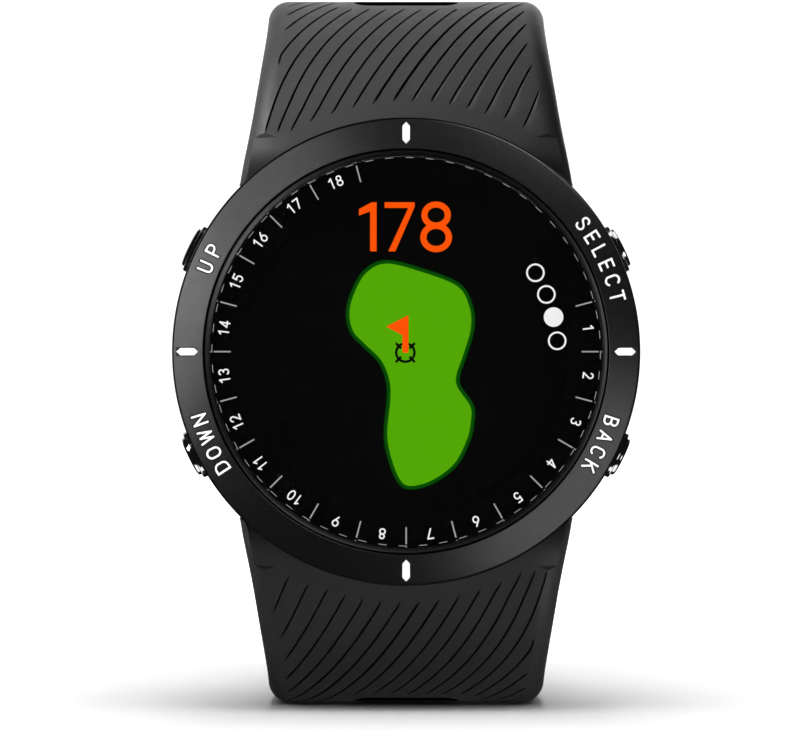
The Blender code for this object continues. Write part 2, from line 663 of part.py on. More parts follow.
def tongue_shape():
    """A bent strip with an eye round the pin, its tip resting on the frame's end bar."""
    back = [(1.05, 0.0), (1.75, -2.4), (1.95, -6.0), (1.85, -9.6), (1.45, -10.9)]
    front = [(1.05, -10.8), (0.85, -9.6), (0.85, -6.0), (0.6, -2.6), (-0.15, -1.3)]
    eye = arc((0, 0), 1.15, 215, 0, 8)
    return prism(back + front + eye, -TONGUE_HALF, TONGUE_HALF, "X")


def keeper_wall():
    """(inner gap outline, outer outline) of a keeper's loop as x and lift out of the middle line."""
    low, high = -BAND_HALF - KEEPER_UNDER, BAND_HALF + KEEPER_ROOM

    def loop(grow, corner):
        w, a, b = KEEPER_HALF + grow, low - grow, high + grow
        return [
            (w - corner, b), (w, b - corner), (w, a + corner), (w - corner, a),
            (corner - w, a), (-w, a + corner), (-w, b - corner), (corner - w, b),
        ]
    return loop(0.0, 0.5), loop(KEEPER_WALL, 1.2)


def keeper(start, end, steps):
    """A loop round the upper half between two places along it."""
    inner, outer = keeper_wall()
    bm = bmesh.new()
    rings = []
    for i in range(steps + 1):
        s = start + (end - start) * i / steps
        for outline in (outer, inner):
            rings.append([bm.verts.new(place_on(UPPER_RUNS, 1, s, x, lift)) for x, lift in outline])
    count = len(outer)

    def skin(a, b):
        for i in range(count):
            j = (i + 1) % count
            bm.faces.new((a[i], a[j], b[j], b[i]))

    for i in range(steps):
        skin(rings[2 * i], rings[2 * i + 2])
        skin(rings[2 * i + 3], rings[2 * i + 1])
    skin(rings[1], rings[0])
    skin(rings[-2], rings[-1])
    return bm


def make_keepers():
    """One loop stays by the buckle, the other slides along the bend."""
    fixed = keeper(UPPER_LENGTH - KEEPER_FIXED_FROM, UPPER_LENGTH - KEEPER_FIXED_TO, 1)
    finish("keeper_fixed", fixed, "strap_silicone")
    arc_start = ROOT_LENGTH + UPPER_FLAT
    arc_y, arc_drop, _ = along(UPPER_RUNS, arc_start)
    centre = Vector((0, arc_y, arc_drop - UPPER_BEND_R))
    middle = arc_start + UPPER_BEND_R * math.radians(KEEPER_BEND_AT)
    half_run = UPPER_BEND_R * math.radians(KEEPER_HALF_TURN)
    bm = keeper(middle - half_run, middle + half_run, 4)
    bmesh.ops.translate(bm, verts=bm.verts, vec=-centre)
    finish("keeper_sliding", bm, "strap_silicone", HEAD + centre)


def main():
    for obj in list(bpy.data.objects):
        bpy.data.objects.remove(obj, do_unlink=True)
    make_case_body()
    make_bezel()
    make_lens_stack()
    make_electronics()
    make_case_back()
    make_spring_bars()
    for name, angle in BUTTONS:
        make_button(name, angle)
    make_lower_strap()
    make_upper_strap()
    make_buckle()
    make_keepers()


main()
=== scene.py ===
"""The looks of the golf GPS watch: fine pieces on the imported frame, materials, lights and camera.

Lengths are millimetres in the frame of the CAD model (+Z 12 o'clock, the dial faces -Y, the origin
in the middle of the case back's outer face); meshes are scaled to metres when they are made.
"""

import json
import math

import bmesh
import bpy
from mathutils import Matrix, Vector
from mathutils.geometry import delaunay_2d_cdt

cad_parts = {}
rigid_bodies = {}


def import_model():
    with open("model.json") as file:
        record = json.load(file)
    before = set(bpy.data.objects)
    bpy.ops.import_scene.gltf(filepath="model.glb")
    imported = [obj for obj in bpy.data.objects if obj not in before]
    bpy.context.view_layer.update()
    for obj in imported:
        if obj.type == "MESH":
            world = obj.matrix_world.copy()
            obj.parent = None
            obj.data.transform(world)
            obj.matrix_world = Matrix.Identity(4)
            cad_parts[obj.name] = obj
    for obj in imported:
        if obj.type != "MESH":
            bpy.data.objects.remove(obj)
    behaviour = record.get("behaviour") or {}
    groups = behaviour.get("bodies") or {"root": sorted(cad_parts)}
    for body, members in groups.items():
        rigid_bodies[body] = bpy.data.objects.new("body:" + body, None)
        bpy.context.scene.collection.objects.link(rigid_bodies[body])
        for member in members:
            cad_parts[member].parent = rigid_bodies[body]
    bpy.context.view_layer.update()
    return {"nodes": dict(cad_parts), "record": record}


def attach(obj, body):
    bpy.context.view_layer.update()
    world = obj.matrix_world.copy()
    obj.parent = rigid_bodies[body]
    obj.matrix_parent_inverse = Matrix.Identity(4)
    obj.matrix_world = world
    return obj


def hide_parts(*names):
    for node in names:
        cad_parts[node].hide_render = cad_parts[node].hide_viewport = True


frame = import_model()

MM = 0.001
FRONT_Y = -12.3
BAR_Y, BAR_Z = -5.2, 18.7
BUTTON_ANGLE = 26.0
scene = bpy.context.scene
scene.view_settings.view_transform = "Standard"


# ---- materials ---------------------------------------------------------------------------
def shader_material(name, colour, roughness, metallic=0.0, **sockets):
    """A Principled material, and its node tree's parts for the texture that is added to it."""
    made = bpy.data.materials.new(name)
    made.use_nodes = True
    shader = made.node_tree.nodes["Principled BSDF"]
    shader.inputs["Base Color"].default_value = (*colour, 1.0)
    shader.inputs["Roughness"].default_value = roughness
    shader.inputs["Metallic"].default_value = metallic
    for socket, value in sockets.items():
        shader.inputs[socket.replace("_", " ")].default_value = value
    return made


def noise(material, scale, detail=4.0, stretch=(1, 1, 1)):
    """A noise texture in the object's own space; scale is features per metre."""
    tree = material.node_tree
    place = tree.nodes.new("ShaderNodeTexCoord")
    mapping = tree.nodes.new("ShaderNodeMapping")
    mapping.inputs["Scale"].default_value = stretch
    texture = tree.nodes.new("ShaderNodeTexNoise")
    texture.inputs["Scale"].default_value = scale
    texture.inputs["Detail"].default_value = detail
    tree.links.new(place.outputs["Object"], mapping.inputs["Vector"])
    tree.links.new(mapping.outputs["Vector"], texture.inputs["Vector"])
    return texture.outputs["Fac"]


def remap(material, value, low, high, start=0.3, end=0.7):
    """Spreads a noise's middle range over low to high."""
    node = material.node_tree.nodes.new("ShaderNodeMapRange")
    node.inputs["From Min"].default_value = start
    node.inputs["From Max"].default_value = end
    node.inputs["To Min"].default_value = low
    node.inputs["To Max"].default_value = high
    material.node_tree.links.new(value, node.inputs["Value"])
    return node.outputs["Result"]


def tint(material, value, dark, light):
    """Colours the surface between two colours by a value from 0 to 1."""
    tree = material.node_tree
    ramp = tree.nodes.new("ShaderNodeValToRGB")
    ramp.color_ramp.elements[0].color = (*dark, 1)
    ramp.color_ramp.elements[1].color = (*light, 1)
    tree.links.new(value, ramp.inputs["Fac"])
    tree.links.new(ramp.outputs["Color"], tree.nodes["Principled BSDF"].inputs["Base Color"])


def rough(material, value, low, high):
    tree = material.node_tree
    tree.links.new(remap(material, value, low, high), tree.nodes["Principled BSDF"].inputs["Roughness"])


def bump(material, value, height, strength=0.5):
    """A bump of about height millimetres."""
    tree = material.node_tree
    node = tree.nodes.new("ShaderNodeBump")
    node.inputs["Strength"].default_value = strength
    node.inputs["Distance"].default_value = height * MM
    tree.links.new(value, node.inputs["Height"])
    tree.links.new(node.outputs["Normal"], tree.nodes["Principled BSDF"].inputs["Normal"])


def textured(name, colour, roughness, metallic=0.0, tints=None, roughs=None, bumps=None, **sockets):
    """A material whose colour, roughness and height each follow a noise of their own.

    tints, roughs and bumps start with the noise's scale and detail, and end with tint's, rough's and bump's
    own two values.
    """
    made = shader_material(name, colour, roughness, metallic, **sockets)
    for give, values in ((tint, tints), (rough, roughs), (bump, bumps)):
        if values:
            scale, detail, *between = values
            give(made, noise(made, scale, detail), *between)
    return made


def silicone():
    """Satin silicone with painted shade: near black and without specular in the grooves and the slot, which a
    vertex attribute marks.
    """
    made = textured(
        "silicone", (0.03, 0.03, 0.031), 0.6, 0.0, (350, 5, (0.028, 0.028, 0.029), (0.033, 0.033, 0.034)),
        (900, 3, 0.54, 0.64), (9000, 3, 0.008, 0.5), Specular_IOR_Level=0.45)
    tree = made.node_tree
    shader = tree.nodes["Principled BSDF"]
    recess = tree.nodes.new("ShaderNodeAttribute")
    recess.attribute_name = "recess"
    unshaded_colour = shader.inputs["Base Color"].links[0].from_socket
    # painted shade: the base colour turns near black, and the specular drops to nothing, where the vertex
    # attribute is 1
    mix = tree.nodes.new("ShaderNodeMix")
    mix.data_type = "RGBA"
    mix.inputs["B"].default_value = (0.002, 0.002, 0.002, 1)
    tree.links.new(recess.outputs["Fac"], mix.inputs["Factor"])
    tree.links.new(unshaded_colour, mix.inputs["A"])
    tree.links.new(mix.outputs["Result"], shader.inputs["Base Color"])
    shade_cuts_specular = tree.nodes.new("ShaderNodeMapRange")
    shade_cuts_specular.inputs["To Min"].default_value = 0.45
    shade_cuts_specular.inputs["To Max"].default_value = 0.0
    tree.links.new(recess.outputs["Fac"], shade_cuts_specular.inputs["Value"])
    tree.links.new(shade_cuts_specular.outputs["Result"], shader.inputs["Specular IOR Level"])
    return made


def metal(name, colour, low, high, grain=(1, 1, 1), scale=4000):
    """A metal with a fine grain, stretched along one axis where it is brushed."""
    made = shader_material(name, colour, low, 1.0)
    texture = noise(made, scale, 3, grain)
    tint(made, texture, tuple(c * 0.8 for c in colour), colour)
    rough(made, texture, low, high)
    bump(made, texture, 0.002, 0.3)
    return made


def glow(name, colour, strength=1.0):
    """The light of a display segment, slightly uneven as pixels are; the number ring's print glows with it as
    well, as painted light.
    """
    return textured(name, tuple(c * 0.05 for c in colour), 0.5, roughs=(6000, 2, 0.45, 0.55),
                    Specular_IOR_Level=0.05, Emission_Color=(*colour, 1), Emission_Strength=strength)


def printed_black():
    return textured("printed_black", (0.001, 0.001, 0.001), 0.5, roughs=(3000, 3, 0.45, 0.6),
                    bumps=(6000, 2, 0.002, 0.3), Specular_IOR_Level=0.05)


LOOK = {
    "silicone": silicone(),
    "ceramic": textured(
        "satin_ceramic", (0.09, 0.09, 0.092), 0.20, 0.95,
        (1200, 6, (0.080, 0.080, 0.082), (0.100, 0.100, 0.102)), (2500, 4, 0.18, 0.22), (7000, 3, 0.004, 0.3),
        Specular_IOR_Level=0.5),
    "case": textured(
        "case_plastic", (0.02, 0.02, 0.021), 0.5, 0.0, (500, 4, (0.017, 0.017, 0.018), (0.024, 0.024, 0.025)),
        (1500, 3, 0.44, 0.56), (12000, 3, 0.010, 0.6)),
    "lip": metal("lip_satin", (0.055, 0.055, 0.058), 0.34, 0.42),
    "button": metal("button_polished", (0.42, 0.42, 0.43), 0.06, 0.13),
    "back": metal("back_blasted", (0.20, 0.20, 0.21), 0.38, 0.5, scale=9000),
    "steel": metal("turned_steel", (0.60, 0.60, 0.61), 0.2, 0.35, (0.05, 1, 1)),
    "buckle": metal("buckle_brushed", (0.16, 0.16, 0.165), 0.22, 0.38, (0.06, 1, 1)),
    "gold": metal("contact_gold", (0.85, 0.60, 0.26), 0.18, 0.3),
    "foil": metal("battery_foil", (0.52, 0.53, 0.55), 0.28, 0.4),
    "enamel": textured(
        "white_enamel", (0.85, 0.85, 0.84), 0.35, tints=(1800, 3, (0.74, 0.74, 0.73), (0.90, 0.90, 0.89)),
        bumps=(5000, 2, 0.006, 0.4)),
    "print": printed_black(),
    "glass": textured(
        "lens_glass", (1, 1, 1), 0.0, bumps=(40, 1, 0.0005, 0.1), Transmission_Weight=1.0, IOR=1.45),
    "rubber": textured(
        "seal_rubber", (0.015, 0.015, 0.015), 0.8, roughs=(2000, 4, 0.7, 0.9), bumps=(8000, 3, 0.01, 0.6)),
    "board": textured(
        "solder_mask", (0.01, 0.10, 0.05), 0.4, 0.0, (900, 5, (0.008, 0.075, 0.035), (0.02, 0.15, 0.07)),
        (1800, 3, 0.3, 0.5), (5000, 2, 0.004, 0.4)),
    "white_glow": glow("display_and_ring_print_white_glow", (0.95, 0.95, 0.95), 0.95),
    "grey_glow": glow("ring_print_grey_glow", (0.45, 0.45, 0.45), 0.8),
    "orange_glow": glow("display_orange", (1.0, 0.087, 0.0), 1.0),
    "green_glow": glow("display_green", (0.087, 0.40, 0.0), 1.0),
    "dark_green_glow": glow("display_dark_green", (0.0, 0.07, 0.0), 1.0),
    "black_glow": printed_black(),
}


HARD = {"ceramic", "case", "lip", "button", "back", "steel", "buckle", "gold", "glass", "print"}


# ---- mesh helpers ------------------------------------------------------------------------
def to_mesh(name, bm, sharp=35.0):
    """A mesh in metres of a bmesh in millimetres."""
    bmesh.ops.remove_doubles(bm, verts=bm.verts, dist=1e-4)
    bmesh.ops.recalc_face_normals(bm, faces=bm.faces)
    bmesh.ops.scale(bm, verts=bm.verts, vec=(MM, MM, MM))
    mesh = bpy.data.meshes.new(name)
    bm.to_mesh(mesh)
    bm.free()
    mesh.shade_smooth()
    mesh.set_sharp_from_angle(angle=math.radians(sharp))
    return mesh


def piece(name, mesh, look, body, slot, *nodes):
    """A visible piece that moves with a body and stands for these CAD nodes."""
    obj = bpy.data.objects.new(name, mesh)
    scene.collection.objects.link(obj)
    mesh.materials.append(LOOK[look])
    if look in HARD:
        weighted = obj.modifiers.new("even_shading", "WEIGHTED_NORMAL")
        weighted.keep_sharp = True
    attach(obj, body)
    if nodes:
        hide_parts(*nodes)
    return obj


def carved(name, bm, cuts=(), joins=(), last_cuts=(), sharp=35.0):
    """The mesh of bm after cuts, joins and last cuts with other shapes; the helpers are removed again."""
    body = bpy.data.objects.new(name, to_mesh(name, bm))
    scene.collection.objects.link(body)
    helpers = []
    for operation, shapes in (("DIFFERENCE", cuts), ("UNION", joins), ("DIFFERENCE", last_cuts)):
        for shape in shapes:
            helper = bpy.data.objects.new(f"{name}_helper_{len(helpers)}", to_mesh("helper", shape))
            scene.collection.objects.link(helper)
            modifier = body.modifiers.new(helper.name, "BOOLEAN")
            modifier.operation = operation
            modifier.solver = "EXACT"
            modifier.object = helper
            helpers.append(helper)
    baked = bpy.data.meshes.new_from_object(body.evaluated_get(bpy.context.evaluated_depsgraph_get()))
    baked.materials.clear()
    baked.name = name
    baked.shade_smooth()
    baked.set_sharp_from_angle(angle=math.radians(sharp))
    for helper in [body, *helpers]:
        bpy.data.objects.remove(helper, do_unlink=True)
    return baked


def turned(profile, steps=256):
    """A profile of (radius, depth) points turned about the dial's axis."""
    bm = bmesh.new()
    points = [bm.verts.new((radius, depth, 0.0)) for radius, depth in profile]
    edges = [bm.edges.new(pair) for pair in zip(points, points[1:])]
    if profile[0][0] > 0:
        edges.append(bm.edges.new((points[-1], points[0])))
    bmesh.ops.spin(
        bm, geom=points + edges, cent=(0, 0, 0), axis=(0, 1, 0),
        angle=math.tau, steps=steps, use_merge=True,
    )
    bmesh.ops.remove_doubles(bm, verts=bm.verts, dist=1e-4)
    bmesh.ops.recalc_face_normals(bm, faces=bm.faces)
    return bm


def prism(outline, start, end, axis="Y"):
    """A flat outline extruded along Y (outline in X, Z) or X (outline in Y, Z)."""
    bm = bmesh.new()
    if axis == "Y":
        corners = [(x, start, z) for x, z in outline]
        step = (0, end - start, 0)
    else:
        corners = [(start, y, z) for y, z in outline]
        step = (end - start, 0, 0)
    face = bm.faces.new([bm.verts.new(corner) for corner in corners])
    side = bmesh.ops.extrude_face_region(bm, geom=[face])
    moved = [item for item in side["geom"] if isinstance(item, bmesh.types.BMVert)]
    bmesh.ops.translate(bm, verts=moved, vec=step)
    bmesh.ops.recalc_face_normals(bm, faces=bm.faces)
    return bm


def bow(x, z, rx, rz, start, end, steps=9):
    """Part of an ellipse, angles in degrees."""
    angles = [math.radians(start + (end - start) * i / steps) for i in range(steps + 1)]
    return [(x + rx * math.cos(a), z + rz * math.sin(a)) for a in angles]


def arc(centre, radius, start, end, steps):
    return bow(*centre, radius, radius, start, end, steps)


def rotated(bm, matrix):
    bmesh.ops.rotate(bm, verts=bm.verts, cent=(0, 0, 0), matrix=matrix)
    return bm


def moved(bm, offset):
    bmesh.ops.translate(bm, verts=bm.verts, vec=offset)
    return bm


def radial(angle):
    """Turns +X to point out of the head at this angle (degrees from 3 o'clock, towards 12)."""
    return Matrix.Rotation(-math.radians(angle), 3, "Y")


def softened(bm, width, angle=30.0, segments=2):
    """Rounds off a solid's edges that are sharper than angle."""
    edges = [edge for edge in bm.edges if edge.is_manifold and edge.calc_face_angle() > math.radians(angle)]
    bmesh.ops.bevel(bm, geom=edges, offset=width, segments=segments, profile=0.5, affect="EDGES")
    return bm


def skinned(loops, closed=False):
    """Joins loops of equal length into a solid, or into a closed tube."""
    bm = bmesh.new()
    rings = [[bm.verts.new(point) for point in loop] for loop in loops]
    for ring, after in zip(rings, rings[1:] + (rings[:1] if closed else [])):
        for i in range(len(ring)):
            j = (i + 1) % len(ring)
            bm.faces.new((ring[i], ring[j], after[j], after[i]))
    if not closed:
        bm.faces.new(rings[0])
        bm.faces.new(reversed(rings[-1]))
    return bm


def along_x(profile, place=(0, 0, 0), steps=48):
    """A profile of (position, radius) turned about a line along X through place."""
    bm = turned([(radius, x) for x, radius in profile], steps)
    return moved(rotated(bm, Matrix.Rotation(-math.pi / 2, 3, "Z")), place)


def out_of_head(profile, angle, steps=64):
    """A profile of (distance from the dial's axis, radius) turned about the button line at angle."""
    return rotated(along_x(profile, (0, BAR_Y, 0), steps), radial(angle))


def flatted_circle(radius, flat, count=60):
    """The outline (X, Z) of a circle cut flat above and below."""
    edge = math.degrees(math.asin(flat / radius))
    return arc((0, 0), radius, -edge, edge, count) + arc((0, 0), radius, 180 - edge, 180 + edge, count)


# ---- the bezel and what is on it ---------------------------------------------------------
CONE_IN, CONE_OUT = (19.15, FRONT_Y), (21.78, -11.98)


def cone_y(radius):
    """The depth of the bezel's sloping front at this radius."""
    t = (radius - CONE_IN[0]) / (CONE_OUT[0] - CONE_IN[0])
    return CONE_IN[1] + (CONE_OUT[1] - CONE_IN[1]) * t


def marker_outline(grow):
    inner, outer, half, point = 19.52 - grow, 21.58 + grow, 0.36 + grow, 0.38
    return [
        (inner, 0), (inner + point, half), (outer - point, half), (outer, 0), (outer - point, -half),
        (inner + point, -half),
    ]


def make_bezel():
    edge = [(22.0 - 0.16 + 0.16 * math.cos(a), -11.78 - 0.16 * math.sin(a)) for a in (0, 0.4, 0.8, 1.2)]
    lip = [(19.09, -12.28), (19.06, -12.24), (19.05, -12.18)]
    profile = [(19.05, -9.4), (21.6, -9.4), (22.0, -9.8), *edge, CONE_OUT, CONE_IN, *lip]
    cuts = []
    for angle in (0, 90, 180, 270):
        cuts.append(rotated(prism(marker_outline(0.08), -12.6, -12.02), radial(angle)))
    mesh = carved("bezel_ring", turned(profile), cuts, sharp=28)
    piece("bezel_ring", mesh, "ceramic", "head", "bezel_ceramic", "bezel")
    for name, angle in (("3", 0), ("12", 90), ("9", 180), ("6", 270)):
        bm = prism(marker_outline(0.0), -12.08, -11.9)
        front = [face for face in bm.faces if face.calc_center_median().y < -12.07]
        bmesh.ops.inset_individual(bm, faces=front, thickness=0.05, depth=0.0)
        bmesh.ops.translate(bm, verts=front[0].verts, vec=(0, -0.05, 0))
        piece(f"bezel_marker_{name}", to_mesh("marker", rotated(bm, radial(angle)), 20), "enamel", "head",
              "marker_white", f"marker_{name}")


def curve(points, closed=False, steps=6):
    """A smooth line through points (Catmull-Rom)."""
    count = len(points)
    found = []
    for i in range(count if closed else count - 1):
        near = [(i + k) % count if closed else min(max(i + k, 0), count - 1) for k in (-1, 0, 1, 2)]
        p0, p1, p2, p3 = (Vector(points[k]) for k in near)
        for step in range(steps):
            t = step / steps
            found.append(0.5 * (2 * p1 + (p2 - p0) * t + (2 * p0 - 5 * p1 + 4 * p2 - p3) * t * t
                                + (3 * p1 - p0 - 3 * p2 + p3) * t ** 3))
    return found if closed else found + [Vector(points[-1])]


def strokes_of(sign):
    """(width, strokes) of a capital or a digit: the middle lines of its strokes on a field 1 high."""
    loop = bow(0.27, 0.5, 0.27, 0.5, 90, 450, 20)
    signs = {
        "A": (0.58, [(0, 0), (0.29, 1), (0.58, 0)], [(0.1, 0.3), (0.48, 0.3)]),
        "B": (0.52, [(0, 0), (0, 1), (0.25, 1), *bow(0.25, 0.76, 0.22, 0.24, 90, -90), (0, 0.52)],
              [(0.25, 0.52), *bow(0.26, 0.26, 0.26, 0.26, 90, -90), (0, 0)]),
        "C": (0.54, bow(0.29, 0.69, 0.29, 0.31, 30, 180) + bow(0.29, 0.31, 0.29, 0.31, 180, 330)),
        "D": (0.60, [(0, 0), (0, 1), *bow(0.24, 0.64, 0.36, 0.36, 90, 0),
                     *bow(0.24, 0.36, 0.36, 0.36, 0, -90), (0, 0)]),
        "E": (0.46, [(0.46, 0), (0, 0), (0, 1), (0.46, 1)], [(0, 0.52), (0.40, 0.52)]),
        "K": (0.54, [(0, 0), (0, 1)], [(0.5, 1), (0, 0.4)], [(0.18, 0.6), (0.54, 0)]),
        "L": (0.44, [(0, 1), (0, 0), (0.44, 0)]),
        "N": (0.60, [(0, 0), (0, 1), (0.60, 0), (0.60, 1)]),
        "O": (0.62, [*bow(0.31, 0.66, 0.31, 0.34, 0, 180), *bow(0.31, 0.34, 0.31, 0.34, 180, 360),
                     (0.62, 0.66)]),
        "P": (0.52, [(0, 0), (0, 1), (0.26, 1), *bow(0.26, 0.73, 0.26, 0.27, 90, -90), (0, 0.46)]),
        "S": (0.53, curve([
            (0.50, 0.80), (0.43, 0.95), (0.27, 1.0), (0.10, 0.94), (0.04, 0.77), (0.11, 0.61), (0.28, 0.52),
            (0.45, 0.41), (0.53, 0.24), (0.46, 0.07), (0.27, 0), (0.08, 0.05), (0.01, 0.20),
        ])),
        "T": (0.54, [(0, 1), (0.54, 1)], [(0.27, 1), (0.27, 0)]),
        "U": (0.54, [(0, 1), *bow(0.27, 0.28, 0.27, 0.28, 180, 360), (0.54, 1)]),
        "W": (0.80, [(0, 1), (0.2, 0), (0.4, 0.95), (0.6, 0), (0.8, 1)]),
        "0": (0.54, loop),
        "1": (0.30, [(0, 0.80), (0.24, 1), (0.24, 0)]),
        "2": (0.52, [*bow(0.26, 0.73, 0.24, 0.27, 165, -35), (0.02, 0), (0.52, 0)]),
        "3": (0.53, bow(0.25, 0.76, 0.23, 0.24, 150, -88), bow(0.25, 0.27, 0.26, 0.27, 85, -150)),
        "4": (0.56, [(0.40, 0), (0.40, 1), (0, 0.25), (0.56, 0.25)]),
        "5": (0.52, [(0.47, 1), (0.08, 1), (0.04, 0.54), *bow(0.25, 0.32, 0.26, 0.32, 125, -150)]),
        "6": (0.54, bow(0.27, 0.31, 0.27, 0.31, 0, 360, 16), [(0.42, 1), (0.04, 0.44)]),
        "7": (0.52, [(0, 1), (0.52, 1), (0.17, 0)]),
        "8": (0.54, bow(0.27, 0.76, 0.22, 0.24, 0, 360, 14), bow(0.27, 0.26, 0.27, 0.26, 0, 360, 16)),
        "9": (0.54, bow(0.27, 0.69, 0.27, 0.31, 0, 360, 16), [(0.12, 0), (0.50, 0.56)]),
    }
    return signs[sign]


def drawn(points, width):
    """Outlines that together draw a line of even width: square ends on its long upright and level runs."""
    points = [Vector(point) for point in points]
    made = [oval(point, width / 2, width / 2, 8) for point in points]
    for a, b in zip(points, points[1:]):
        ahead = (b - a).normalized() * width / 2
        side = Vector((-ahead.y, ahead.x))
        if (b - a).length > 2 * width and min(abs(ahead.x), abs(ahead.y)) < 1e-6:
            a, b = a - ahead, b + ahead
        made.append([a + side, b + side, b - side, a - side])
    return made


def letters(text, height, width, gap, thick, stretch=1.0):
    """A word as flat slabs in X and Z, centred: outer height, stroke width and clear gap between letters."""
    size = height - width
    outlines = []
    x = 0.0
    for sign in text:
        wide, *strokes = strokes_of(sign)
        for points in strokes:
            outlines += drawn([(x + size * px * stretch, size * (pz - 0.5)) for px, pz in points], width)
        x += size * wide * stretch + width + gap
    middle = (x - width - gap) / 2
    outlines = [[(px - middle, pz) for px, pz in outline] for outline in outlines]
    return flat_shapes(outlines, 0.0, thick)


def around(bm, radius, angle, depth_at):
    """Bends flat letters round the dial at this angle, their tops outwards, raised from depth_at(radius)."""
    for vert in bm.verts:
        out = radius + vert.co.z
        a = math.radians(angle) - vert.co.x / radius
        vert.co = Vector((out * math.cos(a), depth_at(out) + vert.co.y, out * math.sin(a)))
    return bm


def merged(parts):
    """One bmesh of several."""
    whole = bmesh.new()
    for part in parts:
        mesh = bpy.data.meshes.new("part")
        part.to_mesh(mesh)
        part.free()
        whole.from_mesh(mesh)
        bpy.data.meshes.remove(mesh)
    return whole


def plain_mesh(name, bm):
    """A thin flat shape as mesh, its faces as they are."""
    bmesh.ops.scale(bm, verts=bm.verts, vec=(MM, MM, MM))
    mesh = bpy.data.meshes.new(name)
    bm.to_mesh(mesh)
    bm.free()
    return mesh


def make_button_words():
    words = (("SELECT", 25.3, 20.50, 0.665), ("BACK", -25.4, 20.31, 0.605), ("UP", 154.7, 20.43, 0.81),
             ("DOWN", 205.2, 20.41, 0.53))
    # The black slabs are bolder than the white letters and lie under them: a painted shadow round the letters,
    # standing for the shade at an engraving's edge.
    for look, thick, painted_shadow_rim in (("print", 0.010, 0.20), ("enamel", 0.022, 0.0)):
        parts = []
        for word, angle, radius, gap in words:
            bm = letters(word, 1.46 + painted_shadow_rim, 0.185 + painted_shadow_rim, gap - painted_shadow_rim, thick, 1.08)
            parts.append(around(bm, radius, angle, cone_y))
        piece(f"button_words_{look}", plain_mesh("words", merged(parts)), look, "head",
              "marker_white" if look == "enamel" else "dial_black")


# ---- the dial ----------------------------------------------------------------------------
RING_Y = -10.6
PRINT_Y = RING_Y - 0.005    # the print stands on the ring
NUMBER_R = 17.27            # radius of the numbers' middle line
SCREEN_Y = -10.25


def bar(angle, inner, outer, half):
    """A flat radial bar on the number ring, as four points in X and Z."""
    a = math.radians(angle)
    out, side = Vector((math.cos(a), math.sin(a))), Vector((-math.sin(a), math.cos(a)))
    ends = ((inner, half), (outer, half), (outer, -half), (inner, -half))
    return [out * reach + side * across for reach, across in ends]


def flat_shapes(outlines, depth, thick=0.02):
    """Flat outlines in X and Z as thin slabs whose fronts stand before depth, each a hair before the last."""
    return merged([prism([tuple(p) for p in outline], depth - thick - 0.0004 * (i % 9), depth)
                   for i, outline in enumerate(outlines)])


def clock(angle):
    """Degrees from 3 o'clock, counter-clockwise, of a clock angle."""
    return 90.0 - angle


def flat_piece(name, outlines, look, slot, depth):
    """Thin slabs of one look that lie on the dial, their fronts before depth."""
    piece(name, to_mesh(name, flat_shapes(outlines, depth)), look, "head", slot)


def make_number_ring():
    ring = [(15.34, RING_Y), (15.34, -10.3), (18.3, -10.3), (18.3, RING_Y)]
    piece("dial_ring", to_mesh("dial_ring", turned(ring)), "print", "head", "dial_black", "number_ring")
    # The ticks, dashes and numbers are print on the ring, made to glow: painted light in place of the lamp
    # light that would fall on them.
    ticks = [bar(clock(75 + 15 * i), 16.5, 18.1, 0.065) for i in range(19)]
    flat_piece("dial_ticks", ticks, "grey_glow", "marker_white", PRINT_Y)
    dashes = []
    for i in range(60):
        a = clock(6 * i + 1)
        dashes.append(arc((0, 0), 18.24, a - 1.2, a + 1.2, 4) + arc((0, 0), 18.30, a + 1.2, a - 1.2, 4))
    flat_piece("dial_dashes", dashes, "grey_glow", "marker_white", PRINT_Y)
    numbers = []
    for i in range(18):
        bm = letters(str(i + 1), 1.05, 0.14, 0.27, 0.02, 1.04)
        numbers.append(around(bm, NUMBER_R, clock(82.5 + 15 * i), lambda radius: PRINT_Y))
    piece("dial_numbers", plain_mesh("numbers", merged(numbers)), "white_glow", "head", "marker_white")


def band(points, width, closed=False):
    """A stroke of even width along points, as one outline per stretch, mitred where it turns."""
    count = len(points)
    sides = []
    for i, point in enumerate(points):
        before = points[(i - 1) % count] if closed or i else None
        after = points[(i + 1) % count] if closed or i < count - 1 else None
        into = (point - before).normalized() if before is not None else (after - point).normalized()
        out = (after - point).normalized() if after is not None else into
        along = (into + out).normalized()
        normal = Vector((-along.y, along.x))
        reach = width / 2 / max(normal.dot(Vector((-into.y, into.x))), 0.4)
        sides.append((point + normal * reach, point - normal * reach))
    stretches = range(count if closed else count - 1)
    pairs = [(sides[i], sides[(i + 1) % count]) for i in stretches]
    return [[here[0], there[0], there[1], here[1]] for here, there in pairs]


def oval(centre, rx, rz, steps=40):
    return [Vector((centre[0] + rx * math.cos(a), centre[1] + rz * math.sin(a)))
            for a in (math.tau * i / steps for i in range(steps))]


GREEN = [
    (-1.9, 8.45), (1.4, 7.7), (4.9, 6.3), (6.1, 4.3), (6.25, 2.2), (5.55, -0.3), (4.9, -2.2), (5.0, -3.3),
    (6.2, -5.1), (6.25, -6.6), (5.85, -8.4), (4.6, -10.7), (2.4, -12.3), (0.3, -12.8), (-0.8, -12.0),
    (-1.65, -9.7), (-1.95, -7.6), (-1.65, -4.5), (-1.75, -2.7), (-2.5, -0.9), (-4.0, 0.6), (-5.1, 1.8),
    (-5.5, 3.5), (-5.1, 5.4), (-3.9, 7.5),
]


